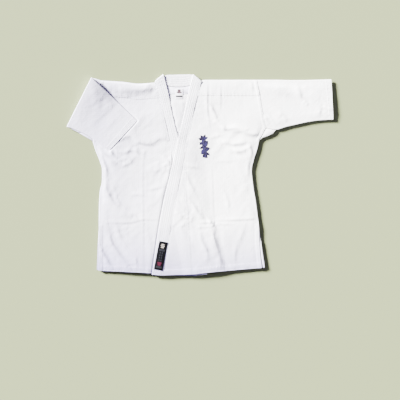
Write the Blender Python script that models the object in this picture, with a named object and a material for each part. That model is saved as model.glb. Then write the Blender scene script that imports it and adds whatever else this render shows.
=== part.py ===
"""A karate jacket laid flat on its back, front side up, with its right sleeve folded over the chest.

Blender units are metres. The sizes below are millimetres, and mesh_object turns them to metres.
Points in the tables are measured on the laid jacket: across is the distance from the centre line,
towards the wearer's left, and down is the distance below the shoulder line.
"""
from collections import namedtuple
import math

import bmesh
import bpy
import numpy as np

# Cloth and seams
CLOTH = 1.2            # heavy cotton drill, one layer
SEAM = 0.3             # space left between two pieces at their seam
BAND = 3.4             # the collar band, several layers stitched together
SLIT = 0.6             # air between the two layers of a flat sleeve
HEM = 22.0             # depth of the turned hems
HEM_EXTRA = 0.9        # what the turning adds to the cloth
ROUND = 2.5            # how far the edge rolls over at shoulder and side
LINING_EXTRA = 0.7     # the shoulder lining under the front panels

# The laid jacket
CENTRE_LINE = -86.0    # from the origin, along X
SHOULDER = 380.0       # from the origin, along Y
LINING_DEPTH = 62.0    # from the shoulder line to the lining's lower seam
VENT_TOP = 570.0       # where the open side vents start
BAND_WIDTH = 44.0
OVERLAP_RISE = 3.5     # how much the covered lapel lifts what lies on it
LOFT = 1.2             # air between front and back
YOKE_DEPTH = 56.0      # from the shoulder line to the lower edge of what shows inside the neck
NECK_POINT = 97.0      # where the shoulder meets the band, from the centre line
GRID = 20.0            # spacing of the panels' points

# Labels
LAPEL_LABEL = (35.0, 116.0)
NECK_LABEL = (30.0, 40.0)
LABEL = 0.6

WHITE_COTTON = (0.86, 0.86, 0.87)
BAND_COTTON = (0.84, 0.84, 0.85)
BLACK_LABEL = (0.02, 0.02, 0.025)
WHITE_LABEL = (0.9, 0.9, 0.9)


def table(columns, *rows):
    """A short table whose columns have names."""
    return [namedtuple("Row", columns)(*row) for row in rows]


def column(rows, name):
    return np.array([getattr(row, name) for row in rows], float)


def smooth(rows, key, value, at):
    """The value at a key, on a smooth curve through the rows of a table that never swings past them."""
    x = column(rows, key)
    y = column(rows, value)
    chord = np.diff(y) / np.diff(x)
    product = np.maximum(chord[:-1] * chord[1:], 0)
    between = 2 * product / (chord[:-1] + chord[1:] + 1e-12)
    slope = np.concatenate([chord[:1], between, chord[-1:]])
    at = np.clip(np.asarray(at, float), x[0], x[-1])
    i = np.clip(np.searchsorted(x, at, side="right") - 1, 0, len(x) - 2)
    step = x[i + 1] - x[i]
    t = (at - x[i]) / step
    return (
        y[i] * (1 + 2 * t) * (1 - t) ** 2
        + y[i + 1] * t * t * (3 - 2 * t)
        + step * (slope[i] * t * (1 - t) ** 2 - slope[i + 1] * t * t * (1 - t))
    )


def ease(x):
    """0 below 0, 1 above 1, and smooth between."""
    x = np.clip(x, 0.0, 1.0)
    return x * x * (3 - 2 * x)


# Outlines

LEFT_ARMHOLE = table("down across", (0, 314), (192, 350))
LEFT_GUSSET_SEAM = table("down across", (192, 350), (239, 324))
LEFT_SIDE = table(
    "down across",
    (239, 324), (276, 316), (320, 302), (360, 294), (416, 299), (492, 311), (580, 322), (660, 332), (750, 346),
)
RIGHT_ARMHOLE = table("down across", (0, 308), (200, 348))
RIGHT_GUSSET_SEAM = table("down across", (200, 348), (246, 342))
RIGHT_SIDE = table(
    "down across",
    (246, 342), (280, 332), (320, 316), (360, 305), (400, 305), (448, 314), (500, 317), (580, 318), (660, 322),
    (765, 326),
)
LEFT_HEM = table("across down", (-61, 781), (54, 777), (118, 770), (226, 760), (346, 750))
RIGHT_HEM = table("across down", (-326, 762), (-134, 771), (6, 782), (80, 784))
BACK_HEM = table("across down", (-326, 760), (-134, 767), (54, 768), (226, 758), (346, 750))
RIGHT_SHOULDER = table("across down", (-310, 2), (-220, 8), (-160, 15), (-100, 11), (-70, 8))
LEFT_SHOULDER = table("across down", (70, 3), (120, 0), (320, 0))

# The lapel's free edge, as it runs on the wearer's left. The other lapel mirrors it.
LAPEL_EDGE = table(
    "down across width",
    (-23, 61, 43), (38, 44, 39), (136, 24, 34), (240, -1, 36), (348, -25, 40), (500, -61, 45), (624, -83, 46),
    (778, -105, 44),
)
COVERED_LAPEL_SPREAD = 10.0   # the covered lapel ends this much further out at the hem
NECK_LEAN = 39.0              # degrees, the slope of the fold where the band turns to the back neck
LAPEL_LEAN = 14.0             # degrees, the slope of a line square across the lapel
OKUMI_SEAM = table("down across", (285, 27), (400, 30), (548, 40), (790, 55))
OKUMI_TOP = 290.0

# Height of the middle of the band above the floor, at its free edge and at its seam
TOP_LAPEL_HEIGHT = table(
    "down free seam",
    (-23, 5.6, 5.6), (60, 4.7, 4.6), (130, 3.7, 3.6), (190, 4.9, 3.6), (232, 7.3, 4.6), (250, 7.4, 5.6),
    (290, 7.3, 7.1), (350, 7.1, 7.3), (400, 6.1, 7.2), (440, 5.4, 7.0), (500, 5.0, 5.4), (560, 4.9, 4.9),
    (790, 4.9, 4.9),
)
COVERED_LAPEL_HEIGHT = table(
    "down free seam", (-23, 5.6, 5.6), (60, 4.7, 4.6), (130, 3.4, 3.4), (790, 3.3, 3.3)
)

LEFT_SLEEVE = table(
    "top_across top_down under_across under_down",
    (314, 0, 350, 192), (345, 0, 390, 199), (385, 0, 430, 188), (440, 1, 478, 177), (492, 1, 526, 167),
    (545, 0, 574, 161), (611, -2, 619, 159),
)

# The right sleeve: flat beside the body up to the fold, then back over the chest to the cuff.
RIGHT_SLEEVE_UNDER = table(
    "top_across top_down under_across under_down",
    (-309, 2, -348, 200), (-327, -4, -396, 212), (-340, -7, -432, 194),
)
SLEEVE_FOLD = table("top_across top_down under_across under_down", (-347, -9, -447.2, 186))
RIGHT_SLEEVE_OVER = table(
    "along top_across top_down under_across under_down",
    (0.0, -347, -9, -447.2, 186), (0.12, -325, 12, -425, 194), (0.3, -292, 42, -392, 208),
    (0.5, -255, 77, -354, 227), (0.75, -210, 120, -314, 254), (1.0, -164.4, 162.4, -275, 281),
)

# The largest folds of the cloth: a curve through three points, its half width and its height.
FOLD = "x1 y1 x2 y2 x3 y3 width height"
RIGHT_FOLDS = table(
    FOLD,
    (-300, 330, -288, 450, -180, 555, 15, 4.0),    # the long sweep from the underarm to the middle
    (-262, 405, -240, 490, -175, 545, 13, 2.4),
    (-300, 290, -276, 306, -246, 318, 12, 3.6),    # short folds below the cuff
    (-310, 300, -290, 312, -270, 330, 11, 2.6),
    (-225, 248, -175, 226, -120, 254, 14, 2.8),    # the wave over the chest
    (-118, 268, -80, 242, -42, 252, 13, 3.2),
    (-192, 320, -180, 272, -140, 268, 13, 2.2),
    (-306, 670, -290, 712, -262, 756, 15, 3.0),    # from the side to the hem
    (-276, 600, -250, 690, -196, 760, 16, 2.6),
    (-130, 378, -80, 372, -45, 366, 16, 1.6),
)
LEFT_FOLDS = table(
    FOLD,
    (148, 590, 158, 680, 190, 766, 16, 5.0),       # the deep fold that runs out at the hem
    (92, 612, 106, 680, 122, 740, 15, 2.8),
    (270, 594, 252, 650, 236, 735, 15, 3.0),
    (138, 176, 190, 208, 268, 206, 14, 3.6),       # folds that run to the underarm
    (198, 222, 270, 216, 340, 226, 13, 4.0),
    (172, 262, 240, 292, 300, 266, 13, 3.6),
    (122, 110, 136, 150, 142, 196, 12, 2.6),
    (52, 410, 84, 490, 112, 560, 15, 2.4),
    (132, 330, 180, 336, 240, 330, 15, 1.8),
)
LEFT_SLEEVE_FOLDS = table(
    FOLD,
    (330, 40, 430, 60, 570, 98, 22, 3.2),
    (372, 96, 384, 130, 392, 160, 14, 1.8),
    (500, 150, 545, 120, 600, 118, 14, 2.0),
)
RIGHT_SLEEVE_FOLDS = table(
    FOLD,
    (-384, 76, -382, 130, -402, 178, 14, 3.6),
    (-352, 200, -312, 140, -268, 92, 14, 1.6),
)


# Curves in the plane of the floor

def fold_curve(fold, count=15):
    """Points on the smooth curve through a fold's three points."""
    t = np.linspace(0, 1, count)[:, None]
    first, middle, last = (np.array(p, float) for p in ((fold.x1, fold.y1), (fold.x2, fold.y2), (fold.x3, fold.y3)))
    handle = 2 * middle - (first + last) / 2
    return first * (1 - t) ** 2 + handle * 2 * t * (1 - t) + last * t * t


def distance_to(path, x, y):
    """The distance from points to a path of points, and how far along the path the nearest place is."""
    points = np.stack([np.ravel(x), np.ravel(y)], 1)
    start = path[:-1]
    step = path[1:] - start
    length = (step**2).sum(1)
    t = np.clip(((points[:, None] - start) * step).sum(2) / length, 0, 1)
    apart = np.linalg.norm(points[:, None] - (start + t[..., None] * step), axis=2)
    nearest = apart.argmin(1)
    rows = np.arange(len(points))
    along = (nearest + t[rows, nearest]) / len(step)
    return apart[rows, nearest].reshape(np.shape(x)), along.reshape(np.shape(x))


def folds_height(folds, x, y):
    """How much the folds lift the cloth at these places."""
    total = np.zeros(np.shape(x))
    for fold in folds:
        apart, along = distance_to(fold_curve(fold), x, y)
        total += fold.height * np.exp(-((apart / fold.width) ** 2)) * np.sin(math.pi * along) ** 0.6
    return total


def lapel_rows(down, mirrored):
    """The free edge and the seam edge of a lapel, as points at these distances down its free edge."""
    side = -1 if mirrored else 1
    across = smooth(LAPEL_EDGE, "down", "across", down)
    if mirrored:
        across = across - COVERED_LAPEL_SPREAD * ease((down - 560) / 220)
    width = smooth(LAPEL_EDGE, "down", "width", down)
    lean = np.radians(LAPEL_LEAN + (NECK_LEAN - LAPEL_LEAN) * (1 - ease((down + 23) / 80)))
    level = ease((down - 700) / 70)
    lean = lean * (1 - level) + np.radians(4) * level
    free = np.stack([side * across, down], -1)
    seam = free + np.stack([side * width * np.cos(lean), width * np.sin(lean)], -1)
    return free, seam


LAPEL_STEPS = np.linspace(-23, 778, 200)
COVERED_FREE, COVERED_SEAM = lapel_rows(LAPEL_STEPS, True)
COVERED_MIDDLE = (COVERED_FREE + COVERED_SEAM) / 2


def band_seam(down, mirrored):
    """How far across the band's seam is, at these distances down."""
    seam = lapel_rows(LAPEL_STEPS, mirrored)[1]
    return np.interp(down, seam[:, 1], seam[:, 0])


def covered_rise(x, y):
    """How much the covered lapel and the covered front lift the cloth over them."""
    apart, along = distance_to(COVERED_MIDDLE[::4], x, y)
    over_band = OVERLAP_RISE * (1 - ease((apart - BAND_WIDTH / 2 - 10) / 28)) * ease((y - 215) / 30)
    inside = x < np.interp(y, COVERED_MIDDLE[:, 1], COVERED_MIDDLE[:, 0])
    over_front = np.where(inside, (CLOTH + SEAM + 0.1) * ease((y - 225) / 30), 0.0)
    return np.maximum(over_band, over_front)


# Meshes

def material(name, colour, roughness):
    made = bpy.data.materials.new(name)
    made.use_nodes = True
    shader = made.node_tree.nodes["Principled BSDF"]
    shader.inputs["Base Color"].default_value = (*colour, 1.0)
    shader.inputs["Roughness"].default_value = roughness
    shader.inputs["Metallic"].default_value = 0.0
    return made


def mesh_object(name, points, faces, finish):
    """An object from points in jacket millimetres, closed and with its faces pointing out."""
    placed = np.asarray(points, float).reshape(-1, 3).copy()
    placed[:, 0] = placed[:, 0] + CENTRE_LINE
    placed[:, 1] = SHOULDER - placed[:, 1]
    mesh = bpy.data.meshes.new(name)
    mesh.from_pydata([tuple(p) for p in placed / 1000.0], [], faces)
    shape = bmesh.new()
    shape.from_mesh(mesh)
    bmesh.ops.recalc_face_normals(shape, faces=shape.faces)
    if shape.calc_volume(signed=True) < 0:
        bmesh.ops.reverse_faces(shape, faces=shape.faces)
    shape.to_mesh(mesh)
    shape.free()
    mesh.materials.append(finish)
    mesh.shade_smooth()
    mesh.set_sharp_from_angle(angle=math.radians(40))
    made = bpy.data.objects.new(name, mesh)
    bpy.context.scene.collection.objects.link(made)
    return made


def wall(name, outer, inner, finish):
    """A wall between two grids of points, closed round its border."""
    rows, columns = outer.shape[:2]
    index = np.arange(rows * columns).reshape(rows, columns)
    under = index + rows * columns
    faces = []
    for i in range(rows - 1):
        for j in range(columns - 1):
            faces.append((index[i, j], index[i, j + 1], index[i + 1, j + 1], index[i + 1, j]))
            faces.append((under[i, j], under[i + 1, j], under[i + 1, j + 1], under[i, j + 1]))
    border = [(0, j) for j in range(columns)]
    border += [(i, columns - 1) for i in range(1, rows)]
    border += [(rows - 1, j) for j in range(columns - 2, -1, -1)]
    border += [(i, 0) for i in range(rows - 2, 0, -1)]
    for here, there in zip(border, border[1:] + border[:1]):
        faces.append((index[here], under[here], under[there], index[there]))
    return mesh_object(name, np.concatenate([outer.reshape(-1, 3), inner.reshape(-1, 3)]), faces, finish)


def loft(name, rings, finish, hollow=None):
    """A solid through rings of points. With hollow rings it is a wall, open at both ends."""
    rows, count = rings.shape[:2]
    index = np.arange(rows * count).reshape(rows, count)
    faces = []
    for i in range(rows - 1):
        for j in range(count):
            k = (j + 1) % count
            faces.append((index[i, j], index[i, k], index[i + 1, k], index[i + 1, j]))
    if hollow is None:
        faces += [tuple(index[0][::-1]), tuple(index[-1])]
        return mesh_object(name, rings, faces, finish)
    inside = index + rows * count
    for i in range(rows - 1):
        for j in range(count):
            k = (j + 1) % count
            faces.append((inside[i, j], inside[i + 1, j], inside[i + 1, k], inside[i, k]))
    for i in (0, rows - 1):
        for j in range(count):
            k = (j + 1) % count
            faces.append((index[i, j], inside[i, j], inside[i, k], index[i, k]))
    return mesh_object(name, np.concatenate([rings.reshape(-1, 3), hollow.reshape(-1, 3)]), faces, finish)


def plate(name, outline, low, high, finish):
    """A flat piece of cloth with this outline, between two heights."""
    count = len(outline)
    points = [(x, y, z) for z in (low, high) for x, y in outline]
    faces = [tuple(range(count))[::-1], tuple(range(count, 2 * count))]
    faces += [(j, (j + 1) % count, count + (j + 1) % count, count + j) for j in range(count)]
    return mesh_object(name, points, faces, finish)


# Front panels

def steps(start, end, spacing):
    return list(np.linspace(start, end, max(2, int(round((end - start) / spacing)) + 1)))


def front_panel(name, left, folds, finish):
    """The main front panel of one side: rolled over at the shoulder and the side, hemmed and open below."""
    side = 1 if left else -1
    armhole, gusset, side_seam = (
        (LEFT_ARMHOLE, LEFT_GUSSET_SEAM, LEFT_SIDE) if left else (RIGHT_ARMHOLE, RIGHT_GUSSET_SEAM, RIGHT_SIDE)
    )
    hem = LEFT_HEM if left else RIGHT_HEM
    shoulder = LEFT_SHOULDER if left else RIGHT_SHOULDER
    armhole_end, gusset_end = armhole[-1].down, gusset[-1].down
    vent_inset = 12.0 if left else 7.0

    def outer_edge(down):
        silhouette = np.where(
            down < armhole_end,
            np.interp(down, column(armhole, "down"), column(armhole, "across")),
            np.where(
                down < gusset_end,
                np.interp(down, column(gusset, "down"), column(gusset, "across")),
                smooth(side_seam, "down", "across", down),
            ),
        )
        seam_side = SEAM * (down < gusset_end)
        return silhouette - seam_side - vent_inset * ease((down - VENT_TOP) / 190) ** 0.7

    def inner_edge(down):
        by_band = side * band_seam(down, not left) + SEAM
        return np.maximum(by_band, smooth(OKUMI_SEAM, "down", "across", down))

    full = 765.0
    row_down = [0.0, 0.0, ROUND] + steps(22, LINING_DEPTH - 2, GRID) + steps(LINING_DEPTH + 2, full - HEM - 3, GRID)
    row_down += [full - HEM, full]
    row_inset = np.zeros(len(row_down))
    row_inset[:2] = CLOTH
    row_drop = np.zeros(len(row_down))
    row_drop[:2] = (1.0, 0.45)
    part = list(np.linspace(0, 1, 15))
    lip = (ROUND, 0.0, 0.0)
    columns = len(part) - 1 + len(lip)
    drop = np.zeros(columns)
    drop[-2:] = (0.45, 1.0)

    def plan(inward):
        """Where the grid's points are: the outer face's, or the inner face's, which lies one cloth inside."""
        across = np.zeros((len(row_down), columns))
        down = np.zeros((len(row_down), columns))
        for i, level in enumerate(row_down):
            d = np.full(columns, max(level, row_inset[i] if inward else 0.0))
            for _ in range(4):
                edge = outer_edge(d)
                open_edge = ease((d - VENT_TOP + 12) / 12) + (d < gusset_end - 4)
                inset = np.zeros(columns)
                inset[-3] = ROUND
                if inward:
                    inset[-2] = CLOTH
                    inset[-1:] = (CLOTH + (0.5 - CLOTH) * np.clip(open_edge, 0, 1))[-1:]
                start = inner_edge(d)
                fraction = np.array(part[:-1] + [1.0, 1.0, 1.0])
                a = start + fraction * (edge - start) - inset
                top = smooth(shoulder, "across", "down", side * a)
                bottom = smooth(hem, "across", "down", side * a)
                d = top + max(level, row_inset[i] if inward else 0.0) / full * (bottom - top)
            across[i], down[i] = side * a, d
        return across, down

    def bottom_height(across, down):
        edge = outer_edge(down)
        to_side = np.abs(edge - side * across)
        vent = ease((down - VENT_TOP) / 60)
        loft_here = LOFT * np.maximum(ease(to_side / 34), 0.5 * vent) * ease((down - 2) / 36)
        folds_here = folds_height(folds, across, down) * ease((to_side - 2) / 22 + 0.6 * vent) * ease(down / 40)
        if left:
            return CLOTH + SEAM + loft_here + folds_here + covered_rise(across, down)
        covered = hidden_by_lapel(across, down)
        folds_here = folds_here * (1 - covered) * (1 - hidden_by_sleeve(across, down))
        return CLOTH + SEAM + loft_here * (1 - covered) + folds_here

    outer = np.zeros((len(row_down), columns, 3))
    inner = np.zeros((len(row_down), columns, 3))
    for grid, inward in ((outer, False), (inner, True)):
        across, down = plan(inward)
        low = bottom_height(across, down)
        high = low + CLOTH + LINING_EXTRA * (down < LINING_DEPTH) * ease(down / 20)
        high[-2:] += HEM_EXTRA * (1 if left else 1 - hidden_by_lapel(across, down)[-2:])
        open_edge = np.clip(ease((down - VENT_TOP + 12) / 12) + (down < gusset_end - 4), 0, 1)
        for i in range(len(row_down)):
            for j in range(columns):
                shut = 1 - open_edge[i, j]
                if inward:
                    lowered = max(row_drop[i] == 1.0, (drop[j] == 1.0) * shut)
                    z = low[i, j] * (1 - lowered)
                else:
                    by_side = drop[j] * shut
                    lowered = max(row_drop[i], by_side)
                    z = high[i, j] * (1 - lowered)
                    if drop[j] and row_drop[i] == 0 and shut < 1:
                        rounded = 0.3 if drop[j] < 1 else high[i, j] - low[i, j] - 0.3
                        z = min(z, high[i, j] - rounded)
                grid[i, j] = (across[i, j], down[i, j], z)
    return wall(name, outer, inner, finish)


def hidden_by_lapel(x, y):
    """1 where the right front lies under the left one, 0 well outside it."""
    free_edge = smooth(LAPEL_EDGE, "down", "across", y)
    return ease((x - free_edge + 16) / 14) * ease((y - 200) / 40)


def hidden_by_sleeve(x, y):
    """1 under the folded sleeve, 0 well outside it."""
    corners = [(r.top_across, r.top_down) for r in RIGHT_SLEEVE_OVER]
    corners += [(r.under_across, r.under_down) for r in RIGHT_SLEEVE_OVER[::-1]]
    outline = np.array(corners + corners[:1], float)
    apart, _ = distance_to(outline, x, y)
    inside = np.zeros(np.shape(x), bool)
    for (x1, y1), (x2, y2) in zip(outline[:-1], outline[1:]):
        crosses = (y1 > y) != (y2 > y)
        inside ^= crosses & (x < x1 + (y - y1) * (x2 - x1) / (y2 - y1 + 1e-9))
    return np.where(inside, 1.0, 1 - ease(apart / 12))


def okumi(name, left, finish):
    """The long triangle sewn between a front panel and its lapel."""
    side = 1 if left else -1
    hem = LEFT_HEM if left else RIGHT_HEM
    full = 778.0
    levels = steps(OKUMI_TOP, full - HEM - 3, GRID) + [full - HEM, full]
    part = np.linspace(0, 1, 5)
    across = np.zeros((len(levels), len(part)))
    down = np.zeros((len(levels), len(part)))
    for i, level in enumerate(levels):
        d = np.full(len(part), level)
        for _ in range(4):
            start = side * band_seam(d, not left) + SEAM
            end = smooth(OKUMI_SEAM, "down", "across", d) - SEAM
            a = side * (start + part * (end - start))
            bottom = smooth(hem, "across", "down", a)
            d = OKUMI_TOP + (level - OKUMI_TOP) / (full - OKUMI_TOP) * (bottom - OKUMI_TOP)
        across[i], down[i] = a, d
    low = np.full(across.shape, CLOTH + SEAM)
    if left:
        low = low + LOFT + covered_rise(across, down) + folds_height(LEFT_FOLDS, across, down)
    high = low + CLOTH
    high[-2:] += HEM_EXTRA
    return wall(name, np.stack([across, down, high], -1), np.stack([across, down, low], -1), finish)


# Back

def back_panel(finish):
    """The back, one flat layer on the floor, hollowed at the neck and wider than the front at the vents."""
    inset = CLOTH + 3 * SEAM
    outline = []
    for across in steps(NECK_POINT, 312, 18):
        outline.append((across, float(smooth(LEFT_SHOULDER, "across", "down", across)) + inset))
    outline.append((350 - SEAM, 192))
    for down in (214, 226, 238):
        outline.append((float(smooth(LEFT_GUSSET_SEAM, "down", "across", down)) - inset - SEAM, down))
    for down in steps(246, 750, GRID):
        inward = inset * (1 - ease((down - VENT_TOP - 25) / 12))
        outline.append((float(smooth(LEFT_SIDE, "down", "across", down)) - inward, down))
    for across in steps(-326, 330, 60)[::-1]:
        outline.append((across, float(smooth(BACK_HEM, "across", "down", across))))
    for down in steps(252, 745, GRID)[::-1]:
        inward = inset * (1 - ease((down - VENT_TOP - 25) / 12))
        outline.append((-float(smooth(RIGHT_SIDE, "down", "across", down)) + inward, down))
    for down in (244, 232, 220):
        outline.append((-float(smooth(RIGHT_GUSSET_SEAM, "down", "across", down)) + inset + SEAM, down))
    outline.append((-348 + SEAM, 200))
    for across in steps(-306, -NECK_POINT, 18):
        outline.append((across, float(smooth(RIGHT_SHOULDER, "across", "down", across)) + inset))
    outline += [(x, y + 2 * SEAM) for x, y in NECKLINE]
    return plate("back", outline, 0.0, CLOTH, finish)


# Collar band

PROFILE = table(
    "part height",
    (0.0, -0.25), (0.0, 0.25), (0.05, 0.5), (0.5, 0.5), (0.95, 0.5), (1.0, 0.25), (1.0, -0.25), (0.95, -0.5),
    (0.5, -0.5), (0.05, -0.5),
)
BACK_NECK = table(
    "part free_across free_down seam_across seam_down",
    (0.0, 61, -23, 94.4, 4.1), (0.2, 44, -22, 62, 18), (0.4, 18, -21, 22, 27), (0.5, 0, -21, 0, 28),
    (0.6, -18, -20, -22, 27), (0.8, -44, -20, -62, 18), (1.0, -61, -20, -94.4, 7.1),
)
ROLL_STEPS = np.linspace(0, math.pi, 7)


def ribbon_ring(free, seam, free_height, seam_height, normal):
    """One section of the band: its profile laid from the free edge to the seam edge."""
    ring = []
    for p in PROFILE:
        x, y = free + p.part * (seam - free)
        z = free_height + p.part * (seam_height - free_height)
        ring.append(np.array([x, y, z]) + normal * p.height * BAND)
    return ring


def lapel_rings(mirrored, heights):
    """The band's sections from the neck fold down to the hem."""
    down = np.array([-23, -14, 0, 16, 34, 52] + steps(70, 755, 21) + [764, 778], float)
    radius = (heights[0].free - BAND / 2) / 2
    free, seam = lapel_rows(down, mirrored)
    inward = -fold_outward(mirrored) * (radius + BAND / 2)
    for i, level in enumerate(down):
        pull = 1 - ease((level + 23) / 40)
        free[i] += inward * pull
        seam[i] += inward * pull
    up = np.array([0.0, 0.0, 1.0])
    return [
        ribbon_ring(f, s, float(smooth(heights, "down", "free", d)), float(smooth(heights, "down", "seam", d)), up)
        for f, s, d in zip(free, seam, down)
    ]


def fold_outward(mirrored):
    """The direction out of the jacket, square to the fold at the side of the neck."""
    side = -1 if mirrored else 1
    lean = math.radians(NECK_LEAN)
    return np.array([side * math.sin(lean), -math.cos(lean)])


def roll_rings(mirrored, heights):
    """The band turning over from the lapel to the back neck."""
    radius = (heights[0].free - BAND / 2) / 2
    free, seam = lapel_rows(np.array([-23.0]), mirrored)
    outward = fold_outward(mirrored)
    centre = heights[0].free - radius
    rings = []
    for angle in ROLL_STEPS[1:-1]:
        shift = outward * (radius * math.sin(angle) - radius - BAND / 2)
        height = centre + radius * math.cos(angle)
        normal = np.array([*(outward * math.sin(angle)), math.cos(angle)])
        rings.append(ribbon_ring(free[0] + shift, seam[0] + shift, height, height, normal))
    return rings


def neck_rings(heights):
    """The band behind the neck, inside up, from the wearer's left to the right."""
    radius = (heights[0].free - BAND / 2) / 2
    down = np.array([0.0, 0.0, -1.0])
    rings = []
    for part in (0.0, 0.07, 0.15, 0.25, 0.35, 0.5, 0.65, 0.75, 0.85, 0.93, 1.0):
        free = np.array([smooth(BACK_NECK, "part", "free_" + k, part) for k in ("across", "down")])
        seam = np.array([smooth(BACK_NECK, "part", "seam_" + k, part) for k in ("across", "down")])
        near = max(1 - part / 0.2, 1 - (1 - part) / 0.2, 0.0)
        inward = -fold_outward(part > 0.5) * (radius + BAND / 2) * near
        rings.append(ribbon_ring(free + inward, seam + inward, BAND / 2, BAND / 2, down))
    return rings


def neckline():
    """Where the back panel meets the band behind the neck, from the wearer's right to the left."""
    rings = neck_rings(TOP_LAPEL_HEIGHT)[:-1]
    return [(ring[5][0], ring[5][1]) for ring in rings[::-1]]


NECKLINE = neckline()


def collar(finish):
    """One band: up the left lapel, over at the neck, behind it, over again and down the right lapel."""
    rings = lapel_rings(False, TOP_LAPEL_HEIGHT)[::-1]
    rings += roll_rings(False, TOP_LAPEL_HEIGHT)
    rings += neck_rings(TOP_LAPEL_HEIGHT)
    rings += roll_rings(True, COVERED_LAPEL_HEIGHT)[::-1]
    rings += lapel_rings(True, COVERED_LAPEL_HEIGHT)
    return loft("collar", np.array(rings), finish)


# Sleeves

HALF_SLEEVE = CLOTH + SLIT / 2
ACROSS_SLEEVE = 9


def tube_rings(rows, relief_side, folds):
    """The outer and inner rings of a flat sleeve.

    Each row is the top edge, the underarm edge, the height of the middle at both, the unit normal, the
    thickness that a hem adds and how much of the folds it shows. The folds lift the layer on the relief side:
    1 is the one the normal points to.
    """
    outer, inner = [], []
    for top, under, top_height, under_height, normal, extra, relief in rows:
        width = float(np.linalg.norm(under - top))
        parts = np.linspace(4.0 / width, 1 - 4.0 / width, ACROSS_SLEEVE)
        rings = []
        for inset, half in ((0.0, HALF_SLEEVE + extra), (CLOTH, SLIT / 2)):
            end = inset / width
            layout = [(end, 0.0)] + [(p, half) for p in parts]
            layout += [(1 - end, 0.0)] + [(p, -half) for p in parts[::-1]]
            ring = []
            for part, height in layout:
                x, y = top + part * (under - top)
                z = top_height + part * (under_height - top_height)
                point = np.array([x, y, z]) + normal * height
                if height * relief_side > 0:
                    middle = ease(min(part, 1 - part) * width / 40)
                    lift = float(folds_height(folds, np.array(x), np.array(y)))
                    point = point + normal * relief_side * (LOFT + lift) * middle * relief
                ring.append(point)
            rings.append(ring)
        outer.append(rings[0])
        inner.append(rings[1])
    return np.array(outer), np.array(inner)


def left_sleeve(finish):
    """The left sleeve, lying straight out from the body."""
    along = column(LEFT_SLEEVE, "top_across")
    cuff = along[-1]
    starts = steps(along[0], cuff - HEM - 3, GRID) + [cuff - HEM, cuff]
    up = np.array([0.0, 0.0, 1.0])
    rows = []
    for x in starts:
        top = np.array([x, smooth(LEFT_SLEEVE, "top_across", "top_down", x)])
        under = np.array([smooth(LEFT_SLEEVE, "top_across", "under_" + k, x) for k in ("across", "down")])
        extra = HEM_EXTRA / 2 * (x >= cuff - HEM)
        rows.append((top, under, HALF_SLEEVE + extra, HALF_SLEEVE + extra, up, extra, 1.0))
    outer, inner = tube_rings(rows, 1, LEFT_SLEEVE_FOLDS)
    return loft("sleeve_left", outer, finish, inner)


def over_height(along, part):
    """Height of the folded sleeve's middle, from the fold to the cuff and from its top edge to the underarm."""
    corner = 8.5 * (1 - ease(along / 0.5)) * (1 - part) ** 1.5
    roll = 1.3 * (1 - ease(along / 0.3))
    return 6.1 + corner + roll


def right_sleeve(finish):
    """The right sleeve: beside the body up to its fold, round the fold and back over the chest."""
    up = np.array([0.0, 0.0, 1.0])
    rows = []
    for row in RIGHT_SLEEVE_UNDER:
        top = np.array([row.top_across, row.top_down], float)
        under = np.array([row.under_across, row.under_down], float)
        rows.append((top, under, HALF_SLEEVE, HALF_SLEEVE, up, 0.0, 0.0))
    fold = SLEEVE_FOLD[0]
    top = np.array([fold.top_across, fold.top_down], float)
    under = np.array([fold.under_across, fold.under_down], float)
    line = (under - top) / np.linalg.norm(under - top)
    outward = np.array([-line[1], line[0]])
    if outward[0] > 0:
        outward = -outward
    radius_top = (over_height(0, 0) - HALF_SLEEVE) / 2
    radius_under = (over_height(0, 1) - HALF_SLEEVE) / 2
    for angle in np.linspace(0, math.pi, 9):
        def turned(point, radius):
            return point + outward * (radius * math.sin(angle) - radius - HALF_SLEEVE)

        normal = np.array([*(outward * math.sin(angle)), math.cos(angle)])
        rows.append(
            (
                turned(top, radius_top),
                turned(under, radius_under),
                HALF_SLEEVE + radius_top * (1 - math.cos(angle)),
                HALF_SLEEVE + radius_under * (1 - math.cos(angle)),
                normal,
                0.0,
                0.0,
            )
        )
    length = 250.0
    for along in steps(0.1, 1 - (HEM + 3) / length, 0.078) + [1 - HEM / length, 1.0]:
        point = [
            float(smooth(RIGHT_SLEEVE_OVER, "along", key, along))
            for key in ("top_across", "top_down", "under_across", "under_down")
        ]
        extra = HEM_EXTRA / 2 * (along > 1 - (HEM + 1) / length)
        rows.append(
            (
                np.array(point[:2]),
                np.array(point[2:]),
                over_height(along, 0) + extra,
                over_height(along, 1) + extra,
                -up,
                extra,
                float(ease(along / 0.3)),
            )
        )
    outer, inner = tube_rings(rows, -1, RIGHT_SLEEVE_FOLDS)
    return loft("sleeve_right", outer, finish, inner)


# Small pieces

def gusset(name, outline, finish):
    """The underarm gusset, a diamond folded in half, so its two layers lie in one small solid."""
    return plate(name, outline, 0.0, 2 * CLOTH + SEAM, finish)


LEFT_GUSSET = ((351.5, 193.6), (389, 200.8), (377, 214.5), (360, 223), (335, 231.5), (325.6, 239.5))
RIGHT_GUSSET = ((-349.2, 200.8), (-396, 212.6), (-372, 227), (-343.6, 244))


def shoulder_lining(finish):
    """What shows of the lining inside the neck, on the back panel below the band."""
    half = 50.0
    inside = [(x, y + 4 * SEAM) for x, y in NECKLINE if abs(x) < half]
    outline = [(-half, YOKE_DEPTH)] + [(half, YOKE_DEPTH)]
    outline += [(half, 27.0)] + inside[::-1] + [(-half, 27.0)]
    return plate("shoulder_lining", outline, CLOTH + SEAM, CLOTH + SEAM + 0.8, finish)


def turned_rectangle(centre, size, angle):
    """The corners of a rectangle about a centre, turned by an angle in degrees."""
    c, s = math.cos(math.radians(angle)), math.sin(math.radians(angle))
    w, h = size[0] / 2, size[1] / 2
    return [(centre[0] + c * x - s * y, centre[1] + s * x + c * y) for x, y in ((-w, -h), (w, -h), (w, h), (-w, h))]


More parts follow.
